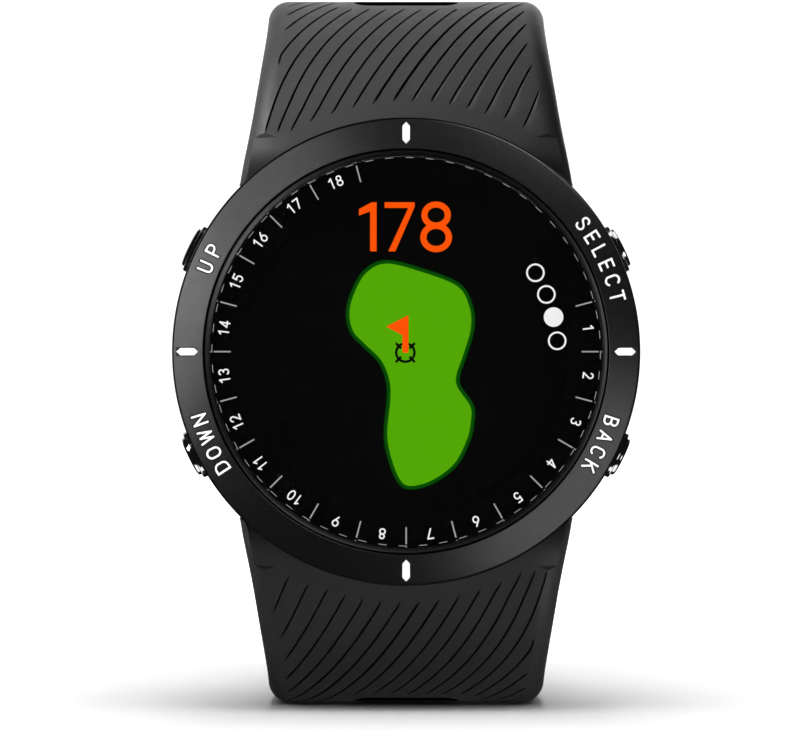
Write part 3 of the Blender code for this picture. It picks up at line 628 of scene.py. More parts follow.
def make_screen():
    panel = [(0, SCREEN_Y), (16.5, SCREEN_Y), (16.5, -8.75), (0, -8.75)]
    mesh = to_mesh("screen_glass", turned(panel, 128))
    piece("screen_glass", mesh, "print", "head", "display", "display_panel")
    green = curve(GREEN, closed=True, steps=10)
    flat_piece("screen_green", [green], "green_glow", "display", SCREEN_Y - 0.01)
    edge = band(green, 0.34, closed=True)
    flat_piece("screen_green_edge", edge, "dark_green_glow", "display", SCREEN_Y - 0.02)
    hole = (-0.08, -0.09)
    ring = band(oval(hole, 0.86, 0.86), 0.24, closed=True)
    for angle in (45, 135, 225, 315):
        ring.append([point + Vector(hole) for point in bar(angle, 0.55, 1.28, 0.12)])
    flat_piece("screen_hole", ring, "black_glow", "display", SCREEN_Y - 0.03)
    cloth = [(-1.88, 2.36), (0.22, 3.44), (-0.35, 1.55)]
    pole = [(-0.35, 3.1), (0.22, 3.44), (0.22, -0.1), (-0.35, -0.1)]
    flat_piece("screen_flag", [cloth, pole], "orange_glow", "display", SCREEN_Y - 0.05)
    make_distance()
    make_page_dots()


def make_distance():
    """The distance figure, drawn as strokes: 1, 7 and 8."""
    top, bottom, stroke = 14.06, 9.44, 0.60
    one = [[(-3.39, bottom), (-2.78, bottom), (-2.78, top), (-3.24, top), (-3.39, top - 0.3)],
           [(-4.44, 13.42), (-4.44, 12.80), (-3.39, 13.20), (-3.39, top - 0.3), (-3.24, top)]]
    seven = [[(-2.03, top - 0.54), (-2.03, top), (0.80, top), (0.80, top - 0.42), (0.20, top - 0.54)],
             [(0.80, top - 0.42), (-1.02, bottom), (-1.68, bottom), (0.20, top - 0.54)]]
    upper = band(oval((2.82, 12.86), 1.40 - stroke / 2, 1.27 - 0.28), 0.575, closed=True)
    lower = band(oval((2.82, 10.75), 1.50 - stroke / 2, 1.38 - 0.28), 0.585, closed=True)
    figure = [[Vector(p) for p in outline] for outline in one + seven] + upper + lower
    flat_piece("screen_distance", figure, "orange_glow", "display", SCREEN_Y - 0.01)


def make_page_dots():
    outlines = []
    for angle, filled in ((58.6, False), (67.8, False), (76.8, True), (85.9, False)):
        a = math.radians(clock(angle))
        centre = (14.25 * math.cos(a), 14.25 * math.sin(a))
        if filled:
            outlines.append(oval(centre, 0.92, 0.92))
        else:
            outlines += band(oval(centre, 0.79, 0.79), 0.17, closed=True)
    flat_piece("screen_dots", outlines, "white_glow", "display", SCREEN_Y - 0.01)


def make_lens():
    lens = [(0, -11.95), (18.32, -11.95), (18.4, -11.87), (18.4, -10.7), (0, -10.7)]
    piece("lens_crystal", to_mesh("lens_crystal", turned(lens, 192)), "glass", "head", "lens_glass", "lens")
    ring = [
        (18.43, -10.65), (18.91, -10.65), (18.91, -12.17), (18.88, -12.20), (18.46, -12.05), (18.43, -12.01),
    ]
    piece("lens_lip", to_mesh("lens_lip", turned(ring)), "lip", "head", "case_plastic", "lens_ring")


# ---- case, case back and buttons -----------------------------------------------------------
CASE_FLAT = 15.4            # the case is cut flat above and below, where the strap knuckles turn
TENON_R, TENON_HALF = 1.75, 9.0
SCREW_R, SCREW_ANGLES = 18.9, (40, 140, 220, 320)
CONTACT_STEP, CONTACT_Z = 2.54, -7.0
BUTTONS = (
    ("select", BUTTON_ANGLE), ("back", -BUTTON_ANGLE),
    ("up", 180 - BUTTON_ANGLE), ("down", 180 + BUTTON_ANGLE),
)


def screw_place(angle):
    a = math.radians(angle)
    return (SCREW_R * math.cos(a), 0, SCREW_R * math.sin(a))


def knuckle_room(side):
    """Cuts the case flat where a strap half turns, with a round inner corner."""
    corner = arc((-7.3, side * (CASE_FLAT + 1.2)), 1.2, 180, 180 + side * 90, 8)
    return prism(corner + [(2, side * CASE_FLAT), (2, side * 26), (-8.5, side * 26)], -25, 25, "X")


def tenon(side):
    """The case's lug block: round about the spring bar, with a web into the case."""
    inner = side * (CASE_FLAT - 1.2)
    round_end = arc((BAR_Y, side * BAR_Z), TENON_R, 0, side * 239, 40)
    web = [(BAR_Y - 0.9, inner), (BAR_Y + TENON_R, inner)]
    return softened(prism(round_end + web, -TENON_HALF, TENON_HALF, "X"), 0.18)


def make_case():
    outside = [
        (0, -1.2), (19.9, -1.2), (20.2, -1.26), (20.4, -1.45), (20.93, -2.8), (21.0, -3.1), (21.0, -6.90),
        (20.92, -6.96), (20.92, -7.04), (21.0, -7.10), (21.0, -8.3), (21.05, -8.5), (21.2, -8.62),
        (21.3, -8.75), (21.3, -9.35), (19.0, -9.35), (19.0, -10.6), (0, -10.6),
    ]
    pocket = [(0, -12), (18.45, -12), (18.45, -9.7), (16.7, -9.7), (16.7, -8.3), (0, -8.3)]
    well = [
        (23.5, 0), (23.5, 2.7), (20.95, 2.62), (20.7, 2.5), (19.3, 2.5), (19.3, 1.02), (18.5, 1.02),
        (18.5, 1.6), (17.7, 1.6), (17.7, 1.02), (15.5, 1.02), (15.5, 0),
    ]
    last = [prism(flatted_circle(16.9, 12.9), -8.6, 2.0)]
    for side in (-1, 1):
        last.append(along_x([(-12, 0), (-12, 0.9), (12, 0.9), (12, 0)], (0, BAR_Y, side * BAR_Z)))
    last += [out_of_head(well, angle) for _, angle in BUTTONS]
    screw_hole = [(0, -4.2), (0.65, -4.2), (0.65, 0), (0, 0)]
    last += [moved(turned(screw_hole, 24), screw_place(angle)) for angle in SCREW_ANGLES]
    cuts = [turned(pocket, 192), knuckle_room(1), knuckle_room(-1)]
    mesh = carved("case_shell", turned(outside), cuts, [tenon(1), tenon(-1)], last, sharp=28)
    piece("case_shell", mesh, "case", "head", "case_plastic", "case_body")


def make_buttons():
    """Push buttons: a collar, a lower domed cap on it and a stem, with the seal and clip on the stem."""
    cap = [
        (16.0, 0), (16.0, 0.8), (16.1, 0.9), (16.28, 0.9), (16.28, 0.62), (16.62, 0.62), (16.62, 0.9),
        (20.1, 0.9), (20.1, 2.25), (20.2, 2.35), (22.36, 2.35), (22.43, 2.33), (22.48, 2.27), (22.50, 2.18),
        (22.50, 2.04), (22.46, 2.0), (22.46, 1.95), (22.68, 1.94), (22.76, 1.90), (22.84, 1.78), (22.90, 1.5),
        (22.94, 1.1), (22.96, 0.6), (22.96, 0),
    ]
    seal = oval((18.1, 1.21), 0.29, 0.25, 16)
    clip = arc((BAR_Y, 0), 1.1, 55, 305, 28) + arc((BAR_Y, 0), 0.68, 305, 55, 24)
    for name, angle in BUTTONS:
        piece(f"button_cap_{name}", to_mesh("cap", out_of_head(cap, angle)), "button", name, "button_metal",
              f"button_{name}")
        piece(f"button_o_ring_{name}", to_mesh("o_ring", out_of_head(seal, angle, 32)), "rubber",
              "head", "seal_rubber", f"button_seal_{name}")
        bm = rotated(softened(prism(clip, 16.33, 16.57, "X"), 0.03, 60), radial(angle))
        piece(f"button_snap_{name}", to_mesh("clip", bm), "steel", name, "steel", f"button_clip_{name}")


def at_depth(outline, depth):
    return [(x, depth, z) for x, z in outline]


def make_case_back():
    """The plate that lies on the wrist, its seal, its screws and the charging contacts in their recess."""
    outline = ((0.0, -1.15), (0.0, -0.42), (0.04, -0.34), (0.32, -0.05), (0.40, 0.0))
    loops = [(flatted_circle(20.0 - inset, 15.2 - inset, 90), depth) for inset, depth in outline]
    plate = skinned([at_depth(*loop) for loop in loops])
    outer, inner = (flatted_circle(radius, radius - 4.0, 90) for radius in (17.75, 17.05))
    groove = ((outer, -2), (outer, -0.62), (inner, -0.62), (inner, -2))
    cuts = [skinned([at_depth(*loop) for loop in groove], closed=True)]
    for radius in (12.6, 10.2):
        line = [(radius, -0.06), (radius, 0.2), (radius + 0.22, 0.2), (radius + 0.22, -0.06)]
        cuts.append(turned(line, 160))
    ends = arc((4.6, CONTACT_Z), 1.35, -90, 90, 16) + arc((-4.6, CONTACT_Z), 1.35, 90, 270, 16)
    cuts.append(prism(ends, -0.10, 0.4))
    head_hole = [
        (0, -1.6), (0.66, -1.6), (0.66, -0.62), (1.05, -0.62), (1.05, -0.08), (1.15, 0.02), (1.15, 0.5),
        (0, 0.5),
    ]
    cuts += [moved(turned(head_hole, 40), screw_place(angle)) for angle in SCREW_ANGLES]
    places = [(CONTACT_STEP * (number - 1.5), 0, CONTACT_Z) for number in range(4)]
    cuts += [moved(turned([(0, -2), (0.85, -2), (0.85, 0.5), (0, 0.5)], 40), place) for place in places]
    mesh = carved("back_plate", plate, cuts, sharp=28)
    piece("back_plate", mesh, "back", "head", "back_metal", "case_back")
    ring = []
    for step in range(12):
        a = math.tau * step / 12
        outline = flatted_circle(17.4 + 0.29 * math.cos(a), 13.4 + 0.29 * math.cos(a), 70)
        ring.append(at_depth(outline, -0.92 + 0.24 * math.sin(a)))
    mesh = to_mesh("back_o_ring", skinned(ring, closed=True))
    piece("back_o_ring", mesh, "rubber", "head", "seal_rubber", "back_seal")
    screw = [
        (0, -3.9), (0.3, -3.9), (0.5, -3.6), (0.5, -0.57), (0.95, -0.57), (1.0, -0.52), (1.0, -0.2),
        (0.97, -0.12), (0.88, -0.06), (0.8, -0.05), (0, -0.05),
    ]
    for number, angle in enumerate(SCREW_ANGLES, 1):
        drive = prism(arc((0, 0), 0.42, 0, 300, 5), -0.4, 0.5)
        bm = moved(turned(screw, 48), screw_place(angle))
        mesh = carved("screw", bm, [moved(drive, screw_place(angle))])
        piece(f"back_plate_screw_{number}", mesh, "steel", "head", "steel", f"back_screw_{number}")
    pad = [
        (0, -1.9), (0.5, -1.9), (0.5, -1.1), (0.8, -1.1), (0.8, -0.24), (0.77, -0.16), (0.68, -0.11),
        (0.3, -0.10), (0.22, -0.13), (0, -0.14),
    ]
    for number, place in enumerate(places, 1):
        mesh = to_mesh("pad", moved(turned(pad, 48), place))
        piece(f"contact_pad_{number}", mesh, "gold", "head", "contact_gold", f"charge_contact_{number}")


def make_spring_bars():
    """Each spring bar: a tube in the lug block with a sprung tip at each end."""
    half = [(3.4, 0), (3.4, 0.58), (8.9, 0.58), (8.9, 0.72), (8.82, 0.8)]
    tube = [(-x, radius) for x, radius in half] + [(x, radius) for x, radius in reversed(half)]
    tip = [(6.4, 0), (6.4, 0.45), (11.85, 0.45), (12.05, 0.40), (12.17, 0.27), (12.2, 0)]
    for name, side in (("upper", 1), ("lower", -1)):
        place = (0, BAR_Y, side * BAR_Z)
        mesh = to_mesh("tube", along_x(tube, place))
        piece(f"bar_tube_{name}", mesh, "steel", "head", "steel", f"spring_bar_{name}")
        for end, sign in (("left", -1), ("right", 1)):
            mesh = to_mesh("tip", along_x([(sign * x, radius) for x, radius in tip], place))
            which = f"{name}_{end}"
            piece(f"bar_pin_{which}", mesh, "steel", f"tip_{which}", "steel", f"bar_tip_{which}")


# ---- the strap ---------------------------------------------------------------------------
ROOT_TILT = 12.0
BEND_R = 12.5
BAND_HALF = 1.5
KNUCKLE_R = 3.0


def bend(radius, degrees):
    return (radius * math.radians(degrees), degrees)


ROOT = [(3.89, 0), bend(BEND_R, 90 - ROOT_TILT)]
UPPER_FLAT, UPPER_BEND_R = 17.0, 17.5
UPPER_RUNS = ROOT + [(UPPER_FLAT, 0), bend(UPPER_BEND_R, 90), (9.0, 0)]
LOWER_RUNS = ROOT + [(14.0, 0), bend(30.0, 62), (44.0, 26)]
UPPER_LENGTH = sum(length for length, _ in UPPER_RUNS)
LOWER_LENGTH = sum(length for length, _ in LOWER_RUNS)


def along(runs, s):
    """(y, drop, heading) of the strap's middle line s from the bar; drop is away from the dial."""
    y, drop, heading = BAR_Y, BAR_Z, math.radians(ROOT_TILT)
    if s < 0:
        return y + s * math.sin(heading), drop + s * math.cos(heading), heading
    for length, degrees in runs:
        part = min(s, length)
        turn = math.radians(degrees) * part / length
        if abs(turn) < 1e-9:
            y += part * math.sin(heading)
            drop += part * math.cos(heading)
        else:
            radius = part / turn
            y += radius * (math.cos(heading) - math.cos(heading + turn))
            drop += radius * (math.sin(heading + turn) - math.sin(heading))
        heading += turn
        s -= part
        if s <= 0:
            break
    return y, drop, heading


def smooth(t):
    t = min(max(t, 0.0), 1.0)
    return t * t * (3 - 2 * t)


def half_thick(s):
    if s < 0:
        return math.sqrt(max(KNUCKLE_R**2 - s * s, 0.0))
    return KNUCKLE_R + (BAND_HALF - KNUCKLE_R) * smooth(s / 15.0)


BAND_WIDE_HALF = 13.3
FLARE, FLARE_START, FLARE_LENGTH, FLARE_POWER = 2.1, -1.0, 18.0, 1.8        # wider towards the bezel
BUCKLE_WIDE_HALF = 11.0
NARROWING_START, NARROWING_LENGTH = 26.0, 24.0


def half_wide(s):
    near = BAND_WIDE_HALF + FLARE * max(1 - (s - FLARE_START) / FLARE_LENGTH, 0.0) ** FLARE_POWER
    return near - (near - BUCKLE_WIDE_HALF) * smooth((s - NARROWING_START) / NARROWING_LENGTH)


def edge_round(s):
    """The outer edges' rounding."""
    return min(2.0, half_thick(s) * 1.3)


def place_on(runs, side, s, x, lift):
    y, drop, heading = along(runs, s)
    return Vector((x, y - lift * math.cos(heading), side * (drop + lift * math.sin(heading))))


def outer_lift(x, half, wide, edge):
    """How far the outer face stands out of the middle line at x across."""
    past = abs(x) - (wide - edge)
    if past <= 0:
        return half
    return half - edge + math.sqrt(max(edge * edge - past * past, 0.0))


PATCH_END_ANGLE = 48.0      # degrees of the edge's round that the grooved patch leaves to the sides
PATCH_START, PATCH_END = 1.0, 24.0
COLUMNS = 14                # stretches across the outer face where it has no grooves


def station(s, shrink=(1.0, 1.0)):
    """The sizes of the strap's section at s."""
    half = half_thick(s) * shrink[1]
    wide = half_wide(s) * shrink[0]
    edge = min(edge_round(s), half * 1.3)
    return half, wide, edge


def top_columns(sizes):
    _, wide, edge = sizes
    limit = wide - edge + edge * math.cos(math.radians(PATCH_END_ANGLE))
    return [limit * (2 * i / COLUMNS - 1) for i in range(COLUMNS + 1)]


def around_section(sizes):
    """The section's outline from the outer face's right end, down the side, under, and up on the left."""
    half, wide, edge = sizes
    inner = min(0.7, half * 0.5)
    right = arc((wide - edge, half - edge), edge, PATCH_END_ANGLE, 0, 4)
    right += arc((wide - inner, inner - half), inner, 0, -90, 3)
    under = [(wide - inner) * (1 - 2 * i / 12) for i in range(1, 12)]
    return right + [(x, -half) for x in under] + [(-x, lift) for x, lift in reversed(right)]


def strap_stations(runs, length, tip):
    """(s, shrink) of every section: close together in the bends, and at the rounded ends."""
    found = [(-KNUCKLE_R * math.sin(math.radians(a)), (1, 1)) for a in (86, 75, 62, 49, 36, 24, 12)]
    cut = length - tip[0][0]
    start = 0.0
    for run, degrees in runs:
        steps = max(2, round(abs(degrees) / 2.5), round(run / 1.5))
        found += [(start + run * i / steps, (1, 1)) for i in range(steps)]
        start += run
    found = [item for item in found if item[0] < cut - 0.3 and abs(item[0] - PATCH_START) > 0.25
             and abs(item[0] - PATCH_END) > 0.25]
    found += [(PATCH_START, (1, 1)), (PATCH_END, (1, 1))]
    found += [(length - from_end, (width, thick)) for from_end, width, thick in tip]
    return sorted(found)


def strap_mesh(runs, side, length, tip, flip):
    """A strap half: a loft whose outer face has a patch of slanting grooves."""
    bm = bmesh.new()
    # a vertex attribute that carries the painted shade of the grooves and the slot
    bm.verts.layers.float.new("recess")
    rows = []
    for s, shrink in strap_stations(runs, length, tip):
        sizes = station(s, shrink)
        across = top_columns(sizes)
        top = [bm.verts.new(place_on(runs, side, s, x, outer_lift(x, *sizes))) for x in across]
        rest = around_section(sizes)[1:-1]
        low = [bm.verts.new(place_on(runs, side, s, x, lift)) for x, lift in rest]
        rows.append((s, top, low, across))
    for (s, top, low, _), (s2, top2, low2, _) in zip(rows, rows[1:]):
        ring, ring2 = [top[-1], *low, top[0]], [top2[-1], *low2, top2[0]]
        for i in range(len(ring) - 1):
            bm.faces.new((ring[i], ring[i + 1], ring2[i + 1], ring2[i]))
        if not (s >= PATCH_START - 1e-6 and s2 <= PATCH_END + 1e-6):
            for i in range(COLUMNS):
                bm.faces.new((top[i], top[i + 1], top2[i + 1], top2[i]))
    for s, top, low, _ in (rows[0], rows[-1]):
        bm.faces.new(top + low)
    add_patch(bm, runs, side, [row for row in rows if PATCH_START - 1e-6 <= row[0] <= PATCH_END + 1e-6], flip)
    return bm


# The grooves, each from an arc just outside the bezel up to near the bend's crest.
GROOVE_STEP = 1.69
GROOVE_MIDDLE = 1.55        # where the groove of index 0 ends
GROOVE_FIRST, GROOVE_LAST = -9, 14
GROOVE_BENT = -5            # this one turns to follow the edge for its last stretch
GROOVE_ARC = 23.35          # radius, seen from the front, at which the grooves start
GROOVE_DEPTH = 0.26
GROOVE_TOP = 16.3           # where the middle grooves end, before the slot


VIEW_DISTANCE = 600.0       # from the camera to the bezel's front
SEEN_FROM = 612.0           # about the camera's distance from the frame's origin


def groove_x(index, s):
    """Where across the strap a groove is at s: nearly straight, and fanning out towards the bezel."""
    back = GROOVE_TOP - s
    fan = index * back * (0.0111 - 0.000122 * back**2) + 0.000014 * index**2 * back**3
    return GROOVE_MIDDLE + GROOVE_STEP * index - 0.687 * back + 0.0019 * back**2 + fan


def groove_limits(s):
    """How far across the grooves may reach at s."""
    return half_wide(s) - (1.15 + 0.7 * smooth((s - 1) / 8))


def seen_height(s):
    """Height above the dial's centre at which the outer face at s is seen from the front."""
    point = place_on(UPPER_RUNS, 1, s, 0, half_thick(s))
    return point.z * (VIEW_DISTANCE / (SEEN_FROM + point.y))


def groove_line(index):
    """A groove's middle line as (x, s) points, or None where nothing of it is left."""
    if -4 <= index <= 2:
        top = GROOVE_TOP
    else:
        top = {-5: 16.8, -6: 18.6}.get(index, 21.6)
    inside = []
    steps = 80
    for i in range(steps + 1):
        s = 1.4 + (top - 1.4) * i / steps
        x = groove_x(index, s)
        if index == GROOVE_BENT and s > 7.6:
            x = max(x, -groove_limits(s))
        if math.hypot(seen_height(s), x) >= GROOVE_ARC and abs(x) <= groove_limits(s):
            inside.append((x, s))
    return inside if len(inside) > 5 else None


def thinned(points, gap):
    """Points at least gap apart, with both ends kept."""
    kept = [points[0]]
    for point in points[1:-1]:
        if math.dist(point, kept[-1]) >= gap and math.dist(point, points[-1]) >= gap * 0.6:
            kept.append(point)
    return kept + [points[-1]]


def groove_rails(points, widest):
    """A groove's rims and floor edges along its line, each point as (place, depth, painted shade).

    The far wall leans out by up to widest towards the end of the groove that is near the bezel.
    """
    # the floor edges take full painted shade, the rims none
    rails_across = [(-0.10, 0.0, 0), (-0.05, GROOVE_DEPTH, 1), (0.05, GROOVE_DEPTH, 1), (0.11, 0.0, 0)]
    if widest > 0.1:
        rails_across.insert(3, (0.09, 0.09, 0))
    last = len(points) - 1
    rails = []
    for offset, depth, recess in rails_across:
        rail = []
        for i, point in enumerate(points):
            if depth and i in (0, last):
                continue
            ahead, behind = points[min(i + 1, last)], points[max(i - 1, 0)]
            step = Vector((ahead[0] - behind[0], ahead[1] - behind[1])).normalized()
            taper = 0.6 if i in (0, last) else 1.0
            lean = widest * (1 - i / len(points)) if offset > 0.1 else 0.0
            rail.append((Vector(point) + Vector((step.y, -step.x)) * (offset + lean) * taper, depth, recess))
        rails.append(rail)
    return rails


def slot_rim(grow):
    """The recessed slot across the crest of the bend, as (x, s) points."""
    half, near, far = 5.0 + grow, 17.45 - grow, 20.3 + grow
    radius = (far - near) / 2
    middle = (near + far) / 2
    right = arc((half - radius, middle), radius, -90, 90, 10)
    left = arc((radius - half, middle), radius, 90, 270, 10)
    return [Vector(p) for p in right + left]


def add_patch(bm, runs, side, rows, flip):
    """The outer face between the first and last of rows, triangulated round its grooves and its slot.

    The vertices below the face are marked in a vertex attribute that paints shade on the silicone there: near
    black in the grooves and the slot.
    """
    recess = bm.verts.layers.float["recess"]
    verts, edges, made, depths, dark = [], [], [], [], []

    def add(point, depth=0.0, vert=None, recessed=0.0):
        verts.append(Vector((point[0], point[1])))
        made.append(vert)
        depths.append(depth)
        dark.append(recessed)
        return len(verts) - 1

    first, last = rows[0], rows[-1]
    loop = [add((x, first[0]), 0, v) for x, v in zip(first[3], first[1])]
    loop += [add((row[3][-1], row[0]), 0, row[1][-1]) for row in rows[1:-1]]
    loop += [add((x, last[0]), 0, v) for x, v in reversed(list(zip(last[3], last[1])))]
    loop += [add((row[3][0], row[0]), 0, row[1][0]) for row in reversed(rows[1:-1])]
    lines = []
    # painted shade in the grooves: full on the upper half, three quarters on the lower
    darkest = 1.0 if side > 0 else 0.75
    for index in range(GROOVE_FIRST, GROOVE_LAST):
        line = groove_line(index)
        if line:
            points = thinned(line, 0.55)
            lines.append([(flip * x, s) for x, s in points])
            rails = groove_rails(points, 0.045 * max(index - 1, 0))
            ids = [[add((flip * point[0], point[1]), depth, None, marked * darkest)
                    for point, depth, marked in rail] for rail in rails]
            for rail in ids:
                edges += list(zip(rail, rail[1:]))
            edges += [(ids[0][0], ids[-1][0]), (ids[0][-1], ids[-1][-1])]
            for rail, beside in zip(ids[1:-1], ids[2:-1]):
                edges += [(rail[0], beside[0]), (rail[-1], beside[-1])]
    # the slot's rims: the two inner ones take full painted shade, the outer one none
    for grow, depth in ((0.06, 0.0), (0.0, 0.08), (-0.08, 0.95)):
        ids = [add(point, depth, None, min(depth * 20, 1.0)) for point in slot_rim(grow)]
        edges += list(zip(ids, ids[1:] + ids[:1]))
    for s, *_ in rows[1:-1]:
        _, wide, edge = station(s)
        for angle in (56, 64, 72, 80, 88):
            x = wide - edge + edge * math.cos(math.radians(angle))
            for place in ((x, s), (-x, s)):
                if all(min(math.dist(place, point) for point in line) > 0.4 for line in lines):
                    add(place)
    fill = 0.9
    for row in range(int((PATCH_END - PATCH_START) / fill)):
        s = PATCH_START + fill * (row + 0.6)
        for column in range(-16, 17):
            x = fill * (column + 0.5 * (row % 2))
            _, wide, edge = station(s)
            limit = wide - edge - 0.25
            near_slot = abs(x) < 5.6 and 16.9 < s < 20.9
            if abs(x) < limit and not near_slot and all(
                    min(math.dist((x, s), point) for point in line) > 0.5 for line in lines):
                add((x, s))
    out_verts, _, faces, orig, _, _ = delaunay_2d_cdt(verts, edges, [loop], 1, 1e-6)
    final = []
    for vert, sources in zip(out_verts, orig):
        known = next((made[i] for i in sources if made[i] is not None), None)
        if known is None:
            x, s = vert
            depth = max((depths[i] for i in sources), default=0.0)
            known = bm.verts.new(place_on(runs, side, s, x, outer_lift(x, *station(s)) - depth))
            known[recess] = max((dark[i] for i in sources), default=0.0)
        final.append(known)
    for face in faces:
        corners = [final[i] for i in face]
        if len(set(corners)) == 3:
            bm.faces.new(corners)


NOTCH_HALF = 9.3


def root_notch(side):
    """The room that the case's lug block turns in."""
    def ray(angle, distance):
        a = math.radians(angle)
        return (distance * math.sin(a), side * distance * math.cos(a))
    around_bar = [ray(a, TENON_R + 0.3) for a in range(24, -101, -6)]
    outside = ((-100, 8.0), (-150, 9.0), (180, 9.0), (135, 12.0), (80, 9.0), (24, 8.0))
    outline = around_bar + [ray(*corner) for corner in outside]
    return moved(prism(outline, -NOTCH_HALF, NOTCH_HALF, "X"), (0, BAR_Y, side * BAR_Z))


def rod(radius, half, place):
    """A round cutter along X."""
    outline = [tuple(point) for point in oval((0, 0), radius, radius, 32)]
    return moved(prism(outline, -half, half, "X"), place)


def make_straps():
    tail = [
        (8.0, 1, 1), (6.2, 0.985, 0.98), (4.6, 0.95, 0.94), (3.2, 0.89, 0.90), (2.0, 0.80, 0.86),
        (1.2, 0.70, 0.82), (0.6, 0.60, 0.74), (0.2, 0.50, 0.66), (0.0, 0.40, 0.55),
    ]
    cuts = [root_notch(-1), rod(0.58, 12.5, (0, BAR_Y, -BAR_Z))]
    for number in range(8):
        y, drop, heading = along(LOWER_RUNS, LOWER_LENGTH - 20.0 - 6.5 * number)
        outline = arc((0.35, 0), 1.05, -90, 90, 14) + arc((-0.35, 0), 1.05, 90, 270, 14)
        cuts.append(moved(rotated(prism(outline, -4, 4), Matrix.Rotation(heading, 3, "X")), (0, y, -drop)))
    lower = strap_mesh(LOWER_RUNS, -1, LOWER_LENGTH, tail, -1)
    piece("strap_lower_band", carved("strap_lower_band", lower, cuts, sharp=17), "silicone", "lower_strap",
          "strap_silicone", "strap_lower")
    end = [(1.5, 1, 1), (1.0, 0.995, 0.94), (0.5, 0.985, 0.8), (0.15, 0.975, 0.62), (0, 0.97, 0.5)]
    y, drop, _ = along(UPPER_RUNS, UPPER_LENGTH)
    cuts = [root_notch(1), rod(0.58, 12.5, (0, BAR_Y, BAR_Z)), rod(0.62, 14, (0, y, drop))]
    cuts.append(moved(prism([(-1.5, -4), (1.5, -4), (1.5, 2.2), (-1.5, 2.2)], -4, 4), (0, y, drop)))
    upper = strap_mesh(UPPER_RUNS, 1, UPPER_LENGTH + 1.5, end, 1)
    piece("strap_upper_band", carved("strap_upper_band", upper, cuts, sharp=17), "silicone", "upper_strap",
          "strap_silicone", "strap_upper")


# ---- buckle and keepers ------------------------------------------------------------------
KEEPER_HALF = 11.25         # half of a keeper's opening
KEEPER_ROOM = 3.1           # its room above the band, for the other half's tail
KEEPER_UNDER = 0.15
KEEPER_WALL = 1.15
KEEPER_FIXED_FROM, KEEPER_FIXED_TO = 8.6, 4.6       # the fixed keeper, before the buckle's pin
KEEPER_BEND_AT = 66         # degrees round the bend at which the sliding keeper rests
KEEPER_HALF_TURN = 10.5


def make_buckle():
    """The frame, its tongue and the pin that both turn on."""
    y, drop, _ = along(UPPER_RUNS, UPPER_LENGTH)
    pin = (0, y, drop)
    low, corner = -10.5, 2.6
    inner_low, inner_corner = low + 2.1, 1.35
    outer = arc((corner - 13.5, low + corner), corner, 180, 270, 12)
    outer += arc((13.5 - corner, low + corner), corner, 270, 360, 12)
    inner = arc((11.4 - inner_corner, inner_low + inner_corner), inner_corner, 0, -90, 8)
    inner += arc((inner_corner - 11.4, inner_low + inner_corner), inner_corner, -90, -180, 8)
    lugs = [arc((side * 12.45, 0.45), 1.05, 0, 180, 12) for side in (1, -1)]
    outline = outer + lugs[0] + inner + lugs[1]
    frame_bm = moved(softened(prism(outline, -1.1, 1.1), 0.38, 40, 3), pin)
    rest = moved(prism([(-1.25, -11), (1.25, -11), (1.25, -7.8), (-1.25, -7.8)], 0.72, 2.0), pin)
    cuts = [along_x([(-15, 0), (-15, 0.58), (15, 0.58), (15, 0)], pin), rest]
    piece("buckle_loop", carved("buckle_loop", frame_bm, cuts, sharp=30), "buckle", "buckle", "buckle_metal",
          "buckle_frame")
    shaft = [(-13.2, 0), (-13.2, 0.40), (-13.1, 0.5), (13.1, 0.5), (13.2, 0.40), (13.2, 0)]
    piece("buckle_shaft", to_mesh("shaft", along_x(shaft, pin)), "steel", "buckle", "steel", "buckle_pin")
    back = curve([(1.05, 0.0), (1.40, -1.1), (1.75, -2.4), (1.95, -6.0), (1.85, -9.6), (1.45, -10.9)], steps=4)
    front = curve([(1.05, -10.8), (0.85, -9.6), (0.85, -6.0), (0.6, -2.6), (-0.15, -1.3)], steps=4)
    eye = arc((0, 0), 1.15, 215, 0, 24)
    outline = [tuple(point) for point in back + front] + eye
    tongue = moved(softened(prism(outline, -0.95, 0.95, "X"), 0.22, 50, 3), pin)
    cuts = [along_x([(-3, 0), (-3, 0.58), (3, 0.58), (3, 0)], pin)]
    piece("buckle_prong", carved("buckle_prong", tongue, cuts, sharp=30), "buckle", "tongue", "buckle_metal",
          "buckle_tongue")


def round_box(half, low, high, corner):
    """A closed outline of (x, lift) with round corners."""
    found = []
    for x, lift, start in ((half, high, 0), (-half, high, 90), (-half, low, 180), (half, low, 270)):
        centre = (x - math.copysign(corner, x), lift - corner if lift == high else lift + corner)
        found += arc(centre, corner, start, start + 90, 6)
    return found


def keeper(start, end):
    """A soft loop round the upper half between two places along it."""
    wall, soft = KEEPER_WALL, 0.32
    steps = [i / 8 for i in range(9)]
    first, last = start + soft, end - soft
    section = [(first + (last - first) * t, 0.0) for t in steps]
    section += arc((last, soft), soft, -90, 0, 4) + arc((last, wall - soft), soft, 0, 90, 4)
    section += [(last + (first - last) * t, wall) for t in steps]
    section += arc((first, wall - soft), soft, 90, 180, 4) + arc((first, soft), soft, 180, 270, 4)
    loops = []
    for s, grow in section:
        low, high = -BAND_HALF - KEEPER_UNDER - grow, BAND_HALF + KEEPER_ROOM + grow
        outline = round_box(KEEPER_HALF + grow, low, high, 0.6 + 0.6 * grow)
        loops.append([place_on(UPPER_RUNS, 1, s, x, lift) for x, lift in outline])
    return skinned(loops, closed=True)


